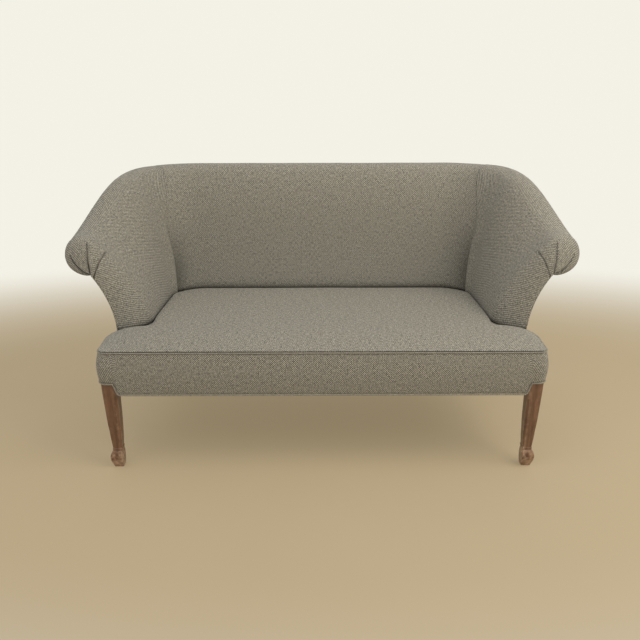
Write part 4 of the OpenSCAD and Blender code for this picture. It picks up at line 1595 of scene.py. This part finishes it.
@dataclass
class FrontBand:
    """The band below the seat's edge with its padding, and the piping above and below."""

    finishes: Finishes
    step_run: float = 24.0
    step_front: float = 14.0
    step_side: float = 10.0
    head_rise: float = 34.0

    @cached_property
    def stations(self) -> list[Station]:
        """Stations from the left arm round the front to the right arm.

        Returns:
            The stations.
        """
        plan = PLAN
        step, r = plan.head_in - self.step_front, plan.seat_corner_r
        half = [Station(x, 0, 0, -1) for x in spread(0, step - 4, 52) + spread(step, step + self.step_run, 32)
                + [plan.seat_half - r - 6, plan.seat_half - r - 2]]
        turns = [(math.cos(a), math.sin(a)) for a in spread(-math.pi / 2, 0, 16)]
        half += [Station(plan.seat_half + r * (out_x - 1), r * (1 + out_y), out_x, out_y)
                 for out_x, out_y in turns]
        back = 0.5 + plan.leg_head - self.step_side
        half += [Station(plan.side_x(y), y, 1, 0) for y in [33] + spread(back, back + self.step_run, 26)
                 + spread(back + self.step_run + 6, plan.arm_setback - 1, 18)]
        return [Station(-p.x, p.y, -p.out_x, p.out_y) for p in reversed(half[1:])] + half

    def bare(self, p: Station) -> float:
        """How far the band has risen to leave the leg's head bare."""
        front = ease(ease((abs(p.x) - PLAN.head_in + self.step_front) / self.step_run))
        return min(front, 1 - ease(ease((p.y - 0.5 - PLAN.leg_head + self.step_side) / self.step_run)))

    def low(self, p: Station) -> float:
        """Height of the band's lower edge."""
        bare_edge = PLAN.rail_z + self.head_rise + 2 * PLAN.piping_r + 2 * PLAN.gap
        return mix(PLAN.base_edge_z, bare_edge, self.bare(p))

    def lip(self, p: Station) -> float:
        """How far the middle of the lower cord stands out."""
        foot = PLAN.band_out(0.0, abs(p.out_x)) * (1 - PLAN.into_arm(p.y))
        return max(foot, PLAN.band_lip) - 0.1

    @property
    def top(self) -> float:
        """Height of the band's upper edge."""
        return PLAN.welt_z - 2

    def place(self, i: float, t: float, d: float) -> Vector:
        """A point of the band at station i and share t of its height, set in by d.

        Args:
            i: The station.
            t: The share of the height.
            d: The depth.

        Returns:
            The point in metres.
        """
        p, plan = self.stations[int(i)], PLAN
        swell = plan.band_out(t, abs(p.out_x))
        out = swell * (1 - plan.into_arm(p.y)) - d
        z = mix(self.low(p), self.top, t)
        soft = 4 * t * (1 - t)
        out += soft * (0.7 * unevenness(p.x, p.y, z, 120) + 0.3 * unevenness(p.x, p.y, z + 400, 45))
        stitched = 0.8 + 0.7 * unevenness(p.x, p.y, z, 9)
        out -= 1.3 * ridge(t, 0.025) + stitched * ridge(1 - t, 0.025)
        return Vector((p.x + p.out_x * out, plan.front_y + p.y + p.out_y * out, z)) * MM

    def ring(self, i: float, a: float, line: Callable[[Station], tuple[float, float]],
             below: float) -> Vector:
        """A point of a cord that follows a line along the band.

        Args:
            i: The station.
            a: The angle round the cord.
            line: Gives the line's distance out and its height at a station.
            below: How far the cord's middle lies below the line, square to it.

        Returns:
            The point in metres.
        """
        def at(n: int) -> Vector:
            """The line's place at a station.

            Args:
                n: The station.

            Returns:
                The point in millimetres.
            """
            p = self.stations[min(len(self.stations) - 1, max(0, n))]
            out, z = line(p)
            return Vector((p.x + p.out_x * out, PLAN.front_y + p.y + p.out_y * out, z))

        p, r, n = self.stations[int(i)], PLAN.piping_r, int(i)
        out = Vector((p.out_x, p.out_y, 0.0))
        up = out.cross(at(n + 1) - at(n - 1)).normalized()
        up = up if up.z >= 0 else -up
        return (at(n) + out * r * math.cos(a) + up * (r * math.sin(a) - below)) * MM

    def build(self) -> None:
        """Makes the band, its padding and the piping."""
        plan, count = PLAN, range(len(self.stations))
        cloth = self.finishes.use(UPHOLSTERY)
        levels = [0, 0.015, 0.04] + spread(0.08, 0.92, 16) + [0.96, 0.985, 1]
        band = Maker.cloth("band_cover", Net(count, levels, lambda i, t: self.place(i, t, 0.0)),
                           lambda i, t: self.place(i, t, BELOW), COVER_T, cloth)
        Maker.settle(band, "upholstery_fabric", ["front_band"], 0.7)
        few = [i for i in count if i % 3 == 0 or i == len(self.stations) - 1]
        depth = plan.side_step - plan.gap
        padding = Maker.pad(
            "band_hair", Net(few, spread(0.06, 0.95, 10), lambda i, t: self.place(i, t, plan.cover_t + 0.75)),
            Net(few, spread(0.06, 0.95, 10), lambda i, t: self.flat(i, t, depth)), self.finishes.use(HAIR))
        Maker.settle(padding, "stuffing", ["band_padding"], 0.6)

        around = spread(0, 2 * math.pi, 12)
        bm = bmesh.new()
        upper = self.top + plan.gap + plan.piping_r
        Maker.add_tube(bm, count, around, lambda i, a: self.ring(i, a, lambda p: (-0.7, upper), 0.0))
        bmesh.ops.recalc_face_normals(bm, faces=bm.faces)
        piping = self.finishes.use(PIPING)
        seat_cord = Maker.piece("seat_piping", bm, piping)
        Maker.settle(seat_cord, "upholstery_fabric", ["seat_welt"], 0.9)

        bm = bmesh.new()
        Maker.add_tube(bm, count, around, lambda i, a: self.ring(
            i, a, lambda p: (self.lip(p), self.low(p)), plan.gap + plan.piping_r))
        half = plan.run_all + plan.arm_nose - 0.6
        runs = spread(-half, half, 180)

        def edge(run: float, a: float) -> Vector:
            """A point of the piping along the foot of the outer panels.

            Args:
                run: The signed run.
                a: The angle round the cord.

            Returns:
                The point in metres.
            """
            s = plan.run_all - abs(run)
            out = plan.outer_at(s) + plan.piping_r * (math.cos(a) - 0.6)
            return plan.set_out(s, Vector((out, plan.base_edge_z - plan.gap
                                           + plan.piping_r * (math.sin(a) - 1))), 1 if run >= 0 else -1)

        Maker.add_tube(bm, runs, around, edge)
        bmesh.ops.recalc_face_normals(bm, faces=bm.faces)
        base_cord = Maker.piece("base_piping", bm, piping)
        Maker.settle(base_cord, "upholstery_fabric", ["base_welt"], 0.9)

    def flat(self, i: float, t: float, d: float) -> Vector:
        """A point of the padding's flat inner face.

        Args:
            i: The station.
            t: The share of the height.
            d: The depth.

        Returns:
            The point in metres.
        """
        p = self.stations[int(i)]
        z = mix(self.low(p), self.top, t)
        return Vector((p.x - p.out_x * d, PLAN.front_y + p.y - p.out_y * d, z)) * MM


class Slice(NamedTuple):
    """A level of a leg: its height, sides, the round of its outer front edge and its inner chamfer."""

    z: float
    left: float
    right: float
    front: float
    back: float
    round: float
    chamfer: float = 0.0


@dataclass
class FrontLeg:
    """A carved front leg: square head, tapered shaft with a stopped chamfer, bead and rolled toe."""

    side: Side
    finishes: Finishes
    arris: float = 1.6
    flat: float = 0.9
    toe_top: float = 66.0
    # How much the toe is lightened: partly wear, partly a painted highlight on the rolled toe.
    toe_wear_and_highlight: float = 2.2

    def slices(self) -> list[Slice]:
        """The leg's levels from the seat down, as on the right leg.

        Returns:
            The slices.
        """
        a, b, f = PLAN.head_in, PLAN.head_out, 0.5
        return [
            Slice(370.5, a, b - 10, f + 11, f + 48, 8),
            Slice(315, a, b - 10, f + 11, f + 48, 8),
            Slice(314, a, b, f, f + 48, 14),
            Slice(286, a, b - 0.6, f, f + 48, 13.5),
            Slice(268, a + 0.1, b - 1.4, f + 0.5, f + 47.8, 12.5),
            Slice(262, a + 0.2, b - 1.8, f + 0.8, f + 47.6, 12, 2),
            Slice(255, a + 0.3, b - 2.3, f + 1.2, f + 47.4, 11, 5),
            Slice(227, a + 0.8, b - 3.6, f + 2.4, f + 47, 9, 6.5),
            Slice(197, a + 1, b - 4.6, f + 4, f + 46, 8, 6.5),
            Slice(168, a + 1.4, b - 6, f + 5, f + 45, 6.5, 6.5),
            Slice(138, a + 2.7, b - 8.6, f + 6.3, f + 43.5, 5.5, 6),
            Slice(108, a + 3.6, b - 10.3, f + 7.2, f + 42, 4.5, 5.5),
            Slice(80, a + 5.8, b - 12.7, f + 8.1, f + 41, 4, 4),
            Slice(76.4, a + 6.1, b - 12.9, f + 8.4, f + 40.8, 4, 2.5),
            Slice(74.6, a + 5.2, b - 11.9, f + 7.4, f + 41.7, 4.5, 2.5),
            Slice(72.2, a + 4.7, b - 11.4, f + 6.9, f + 42.1, 4.5, 2.5),
            Slice(69.8, a + 5.2, b - 11.9, f + 7.4, f + 41.7, 4.5, 2.5),
            Slice(68, a + 6.2, b - 12.4, f + 8.2, f + 41.2, 4, 2),
            Slice(63, a + 6.2, b - 9, f + 6.6, f + 42.4, 5, 2),
            Slice(55, a + 6, b - 4.6, f + 4.6, f + 44.2, 5, 2),
            Slice(47, a + 5.8, b - 2, f + 3.5, f + 45.6, 5, 2),
            Slice(40, a + 5.8, b - 1.6, f + 3.4, f + 46, 5, 2),
            Slice(31, a + 6.1, b - 2, f + 5, f + 46, 5, 2),
            Slice(21, a + 6.8, b - 3.2, f + 9, f + 45.6, 4.5, 2),
            Slice(11, a + 7.6, b - 5.4, f + 14, f + 44.8, 4, 2),
            Slice(3, a + 8.4, b - 7.6, f + 17, f + 44, 3.5, 2),
            Slice(0.8, a + 9, b - 8.4, f + 18, f + 43.4, 3, 2),
            Slice(0, a + 10.4, b - 9.8, f + 19.6, f + 42, 3, 2)]

    def levels(self) -> list[Slice]:
        """The slices with softly drawn levels between them.

        Returns:
            The levels, about 5 millimetres apart.
        """
        keys, found = self.slices(), []
        for n, (high, low) in enumerate(zip(keys, keys[1:])):
            steps = max(1, round((high.z - low.z) / 5)) if n > 1 else 1
            before, after = keys[max(0, n - 1)], keys[min(len(keys) - 1, n + 2)]
            for k in range(steps):
                t = k / steps
                straight = [mix(p, q, t) for p, q in zip(high, low)]
                if 2 < n < len(keys) - 3:
                    bow = t * (1 - t) / 8
                    bends = [bow * (p + q - o - e) for p, q, o, e in zip(high, low, before, after)]
                    straight = [straight[0]] + [s + e for s, e in zip(straight[1:], bends[1:])]
                found.append(Slice(*straight))
        return found + [keys[-1]]

    def outline(self, q: Slice) -> list[tuple[float, float, float]]:
        """A slice's outline, round once from its outer front edge.

        Args:
            q: The slice.

        Returns:
            Each point's x and y, and how much of an edge it is, from 0 to 1.
        """
        corners = [(q.right, q.front, q.round), (q.right, q.back, self.arris), (q.left, q.back, self.arris),
                   (q.left, q.front, max(self.arris, q.chamfer))]
        middle_x, middle_y = (q.left + q.right) / 2, (q.front + q.back) / 2
        found = []
        for n, (x, y, r) in enumerate(corners):
            cut = n == 3 and q.chamfer > self.arris
            cx, cy = x - math.copysign(r, x - middle_x), y - math.copysign(r, y - middle_y)
            turns = spread(math.pi / 2 * (n - 1), math.pi / 2 * n, 6)
            arc = [(cx + r * math.cos(a), cy + r * math.sin(a)) for a in turns]
            (x0, y0), (x1, y1) = arc[0], arc[-1]
            for k, (ax, ay) in enumerate(arc):
                if cut:
                    ax, ay = mix(ax, mix(x0, x1, k / 6), self.flat), mix(ay, mix(y0, y1, k / 6), self.flat)
                sharp = 1.0 if r < 4 or k in (0, 6) and cut else 0.25
                found.append((ax, ay, sharp))
            next_x, next_y, _ = corners[(n + 1) % 4]
            found += [(mix(x1, next_x, share), mix(y1, next_y, share), 0.0) for share in (0.264, 0.536)]
        return found + [found[0]]

    def build(self) -> None:
        """Makes the leg."""
        levels = self.levels()
        outlines = [self.outline(q) for q in levels]
        columns = range(len(outlines[0]))

        def point(i: float, j: float) -> Vector:
            """A point of the leg in a level and a place round it."""
            x, y, _ = outlines[int(i)][int(j)]
            return Vector((self.side.value * x, PLAN.front_y + y, levels[int(i)].z)) * MM

        bm = bmesh.new()
        # Painted highlight and wear: the toe below toe_top is lightened through the edge attribute.
        rubbed_and_lit = [self.toe_wear_and_highlight if q.z < self.toe_top else 0.0 for q in levels]
        Maker.add_tube(bm, range(len(levels)), columns, point, lambda i, j: max(rubbed_and_lit[i], outlines[i][j][2]))
        bmesh.ops.recalc_face_normals(bm, faces=bm.faces)
        leg = Maker.piece(f"carved_leg_{self.side.word}", bm, self.finishes.use(STAINED))
        leg.data.set_sharp_from_angle(angle=math.radians(38))
        Maker.settle(leg, "stained_wood", [f"front_leg_{self.side.word}"])


REAR_LEG_TOP = (601.0, 263.9)


@dataclass
class RearLeg:
    """A plain square rear leg, raked back and tapered to its foot."""

    side: Side
    finishes: Finishes
    top_w: float = 42.0
    foot_w: float = 27.0
    top_at: tuple[float, float] = REAR_LEG_TOP
    foot_at: tuple[float, float] = (607.0, 297.9)
    arris: float = 2.2

    def build(self) -> None:
        """Makes the leg from a cube that is tapered, subdivided and bevelled."""
        low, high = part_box(f"rear_leg_{self.side.word}")
        bm = bmesh.new()
        bmesh.ops.create_cube(bm, size=1.0)
        top, foot = (Vector((self.side.value * x, y, 0)) * MM for x, y in (self.top_at, self.foot_at))
        for vert in bm.verts:
            up = vert.co.z > 0
            centre, width = (top, self.top_w) if up else (foot, self.foot_w)
            vert.co = Vector((centre.x + vert.co.x * width * MM, centre.y + vert.co.y * width * MM,
                              high[2] if up else low[2]))
        bmesh.ops.bevel(bm, geom=[e for e in bm.edges if abs(e.verts[0].co.z - e.verts[1].co.z) > 0.1],
                        offset=self.arris * MM, offset_type="OFFSET", segments=3, profile=0.5, affect="EDGES",
                        material=-1)
        upright = [e for e in bm.edges if abs(e.verts[0].co.z - e.verts[1].co.z) > 0.1]
        bmesh.ops.subdivide_edges(bm, edges=upright, cuts=10, use_grid_fill=False)
        edge = bm.verts.layers.float.new("edge")
        for vert in bm.verts:
            vert[edge] = 0.8
        bmesh.ops.recalc_face_normals(bm, faces=bm.faces)
        leg = Maker.piece(f"raked_leg_{self.side.word}", bm, self.finishes.use(STAINED))
        leg.data.set_sharp_from_angle(angle=math.radians(40))
        Maker.settle(leg, "stained_wood", [f"rear_leg_{self.side.word}"])


@dataclass
class DustCover:
    """The black cloth under the seat, cut round the rear legs and tacked along the rails."""

    finishes: Finishes
    sag: float = 2.2
    thick: float = 0.5
    inset: float = 13.0

    def build(self) -> None:
        """Makes the cloth with a slight sag between its tacks."""
        low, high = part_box("dust_cover")
        plan = PLAN
        front, back = low[1], high[1]
        step = plan.front_y + plan.leg_head + 2.5

        def half(y: float) -> float:
            """Half the cloth's width at y, within the outer panels.

            Args:
                y: The row's y in metres.

            Returns:
                The distance in millimetres.
            """
            y_mm = y / MM
            if y_mm <= step:
                return plan.head_in - 6
            straight = mix(plan.outer_x, plan.corner_c[0] + plan.corner_ab[0],
                           (y_mm - plan.front_y) / (plan.corner_c[1] - plan.front_y)) - self.inset
            if y_mm < plan.corner_c[1]:
                return min(straight, high[0] / MM)
            a, b = plan.corner_ab[0] - self.inset, plan.corner_ab[1] - self.inset
            up = clamp01((y_mm - plan.corner_c[1]) / b)
            return plan.corner_c[0] + a * max(0.0, 1 - up**4) ** 0.25

        ys = [y * MM for y in spread(front / MM, step, 3) + spread(step + 1.5, plan.corner_c[1], 26)
              + [plan.corner_c[1] + (back / MM - plan.corner_c[1]) * math.sin(a)
                 for a in spread(0.12, math.pi / 2 - 0.02, 14)]]

        def point(y: float, u: float) -> Vector:
            """A point of the cloth with its sag.

            Args:
                y: The row's y in metres.
                u: The share of the half width, from -1 to 1.

            Returns:
                The point in metres.
            """
            x = half(y) * u
            inner = clamp01((1 - abs(u)) * 4) * clamp01((y - front) / 0.12) * clamp01((back - y) / 0.12)
            drop = self.sag * inner * (0.75 + 0.25 * unevenness(x, y / MM, 0, 160))
            return Vector((x * MM, y, high[2] - drop * MM))

        net = Net(ys, spread(-1, 1, 60), point)
        bm = bmesh.new()
        net.add_to(bm)
        Maker.face_out(bm, net, lambda y, u: point(y, u) + Vector((0, 0, 0.01)))
        for side in (-1, 1):
            self.cut_leg(bm, side)
        area = sum(face.calc_area() for face in bm.faces)
        cloth = Maker.piece("under_cloth", bm, self.finishes.use(BLACK_CLOTH))
        wall = cloth.modifiers.new("thickness", "SOLIDIFY")
        wall.thickness, wall.offset = self.thick * MM, 1.0
        Maker.settle(cloth, "black_cloth", ["dust_cover"])
        width, length = net.size()[1], back - front
        log.info("under_cloth: %.0f x %.0f mm flat", width / MM, length / MM)

    @staticmethod
    def cut_leg(bm: bmesh.types.BMesh, side: int) -> None:
        """Cuts a square hole for a rear leg.

        Args:
            bm: The mesh.
            side: 1 for the right half and -1 for the left.
        """
        centre, reach = Vector((side * REAR_LEG_TOP[0], REAR_LEG_TOP[1], 0)) * MM, 24 * MM
        for axis in (0, 1):
            for sign in (-1, 1):
                normal, place = Vector((0, 0, 0)), centre.copy()
                normal[axis] = 1.0
                place[axis] += sign * reach
                bmesh.ops.bisect_plane(bm, geom=bm.verts[:] + bm.edges[:] + bm.faces[:], plane_co=place,
                                       plane_no=normal, dist=1e-6)
        inside = [f for f in bm.faces if abs(f.calc_center_median().x - centre.x) < reach
                  and abs(f.calc_center_median().y - centre.y) < reach]
        bmesh.ops.delete(bm, geom=inside, context="FACES")


@dataclass
class BareFrame:
    """The frame's nodes that keep their own shape and get their finish."""

    finishes: Finishes

    def build(self) -> None:
        """Gives each node its material."""
        beech = {
            Way.X: ["front_rail", "back_rail", "crest_rail", "back_tack_rail", "front_corner_blocks",
                    "rear_corner_blocks", "rail_dowels"],
            Way.Y: ["side_rail_left", "side_rail_right", "seat_stretcher", "arm_top_rail_left",
                    "arm_top_rail_right", "arm_tack_rail_left", "arm_tack_rail_right"],
            Way.Z: ["arm_stump_left", "arm_stump_right", "back_posts", "back_uprights"]}
        for way, names in beech.items():
            for name in names:
                self.dress(name, BEECH[way])
        for name in ("corner_screws", "leg_bolts", "seat_springs", "dust_cover_tacks"):
            self.dress(name, STEEL)
        for name in ("seat_webbing", "spring_twine"):
            self.dress(name, JUTE)
        self.dress("back_webbing", JUTE_UPRIGHT)
        self.dress("seat_hessian", Cloth("hessian_flat", HESSIAN.dark, HESSIAN.middle, HESSIAN.light,
                                         HESSIAN.pitch, sheen=0.05, mapped=False))

    def dress(self, name: str, finish: Cloth | Wood | Steel) -> None:
        """Puts a finish on a node's material slots.

        Args:
            name: The node's name.
            finish: The finish.
        """
        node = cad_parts[name]
        material = self.finishes.use(finish)
        if not node.material_slots:
            node.data.materials.append(material)
        for slot in node.material_slots:
            slot.material = material
        log.info("%s: %s", name, finish.name)


@dataclass
class Studio:
    """The floor, the lamps, the surroundings and the camera."""

    floor_colour: Colour = (0.58, 0.47, 0.31)
    floor_look: Colour = (0.46, 0.355, 0.205)
    surround: Colour = (0.90, 0.88, 0.79)
    sky: Colour = (0.94, 0.96, 1.0)
    world_light: float = 0.57
    lamp_colour: Colour = (1.0, 0.945, 0.83)
    camera_back: float = 1992.0
    camera_left: float = 10.4
    camera_height: float = 1347.0
    camera_pitch: float = 22.23
    camera_yaw: float = -0.09
    camera_roll: float = -0.11

    @staticmethod
    def seen(g: Graph) -> bpy.types.NodeSocket:
        """1 for a ray from the camera, straight or by way of gloss or glass, and 0 for light.

        Args:
            g: The graph that it is added to.

        Returns:
            The number's socket.
        """
        rays = g.add("ShaderNodeLightPath").outputs
        return g.math("MAXIMUM", g.math("MAXIMUM", rays["Is Camera Ray"], rays["Is Glossy Ray"]),
                      rays["Is Transmission Ray"])

    def floor(self) -> None:
        """A pale floor that keeps the sofa's shadow and fades into the surround away from it."""
        bm = bmesh.new()
        bmesh.ops.create_grid(bm, x_segments=1, y_segments=1, size=14.0)
        material, g, shader = Finish.start("studio_floor")
        place = g.add("ShaderNodeTexCoord").outputs["Object"]
        haze = g.noise(place, 1.4, 4.0, 0.6)
        low = tuple(c * 0.96 for c in self.floor_colour)
        g.tree.links.new(g.ramp(haze, [(0.3, low), (0.7, self.floor_colour)]), shader.inputs["Base Color"])
        g.tree.links.new(g.math("MULTIPLY_ADD", haze, 0.1, 0.7), shader.inputs["Roughness"])
        away = g.add("ShaderNodeVectorMath", {0: g.scaled(place, (0.5, 1.0, 1.0))}, operation="LENGTH")
        fade = g.add("ShaderNodeMapRange", {0: away.outputs["Value"], 1: 0.8, 2: 2.0},
                     interpolation_type="SMOOTHSTEP").outputs[0]
        pale = g.tint(fade, (*self.floor_look, 1.0), (*self.surround, 1.0))
        glow = g.add("ShaderNodeEmission", {0: pale, 1: 1.0}).outputs[0]
        lifted = g.math("MULTIPLY", g.math("MULTIPLY_ADD", fade, 0.5, 0.5), self.seen(g))
        both = g.add("ShaderNodeMixShader", {0: lifted, 1: shader.outputs[0], 2: glow}).outputs[0]
        out = next(n for n in material.node_tree.nodes if n.type == "OUTPUT_MATERIAL")
        g.tree.links.new(both, out.inputs["Surface"])
        Maker.piece("studio_floor", bm, material)

    def lamp(self, name: str, place: Sequence[float], aim: Sequence[float], size: float,
             watts: float) -> None:
        """Adds a soft square lamp that points at a place.

        Args:
            name: The lamp's name.
            place: Where it stands.
            aim: Where it points.
            size: The length of its sides.
            watts: Its power.
        """
        light = bpy.data.lights.new(name, "AREA")
        light.energy, light.size = watts, size
        light.color = self.lamp_colour
        obj = bpy.data.objects.new(name, light)
        bpy.context.scene.collection.objects.link(obj)
        obj.location = place
        obj.rotation_euler = (Vector(aim) - Vector(place)).to_track_quat("-Z", "Y").to_euler()

    def world(self) -> None:
        """Even light all round, and a pale surround where the camera looks past the floor."""
        world = bpy.data.worlds.new("studio")
        bpy.context.scene.world = world
        world.use_nodes = True
        g = Graph(world.node_tree)
        back = next(n for n in world.node_tree.nodes if n.type == "BACKGROUND")
        seen = self.seen(g)
        g.tree.links.new(g.tint(seen, (*self.sky, 1.0), (*self.surround, 1.0)), back.inputs[0])
        g.tree.links.new(g.blend(seen, self.world_light, 1.0), back.inputs[1])

    def camera(self) -> None:
        """The camera at the photograph's place and angle."""
        data = bpy.data.cameras.new("camera")
        data.lens, data.sensor_width = 40.0, 36.0
        data.clip_start, data.clip_end = 0.05, 60.0
        obj = bpy.data.objects.new("camera", data)
        bpy.context.scene.collection.objects.link(obj)
        turn = (Matrix.Rotation(math.radians(self.camera_yaw), 4, "Z")
                @ Matrix.Rotation(math.radians(90 - self.camera_pitch), 4, "X")
                @ Matrix.Rotation(math.radians(self.camera_roll), 4, "Z"))
        place = Vector((-self.camera_left, PLAN.front_y - self.camera_back, self.camera_height)) * MM
        obj.matrix_world = Matrix.Translation(place) @ turn
        bpy.context.scene.camera = obj

    def build(self) -> None:
        """Sets up the whole studio."""
        bpy.context.scene.view_settings.view_transform = "Standard"
        self.floor()
        self.world()
        self.lamp("lamp_left", (-1.2, -1.5, 3.0), (0, 0, 0.4), 2.4, 20.0)
        self.lamp("lamp_right", (2.0, -1.1, 2.7), (0, 0, 0.4), 2.0, 52.0)
        self.camera()


def main() -> None:
    """Builds the sofa and its studio, one sub-assembly after another."""
    logging.basicConfig(level=logging.INFO, format="%(name)s: %(message)s")
    finishes = Finishes()
    Studio().build()
    for side in Side:
        ArmUpholstery(side, finishes).build()
        FrontLeg(side, finishes).build()
        RearLeg(side, finishes).build()
    BackUpholstery(finishes).build()
    SeatUpholstery(finishes).build()
    FrontBand(finishes).build()
    DustCover(finishes).build()
    BareFrame(finishes).build()


if __name__ == "__main__":
    main()
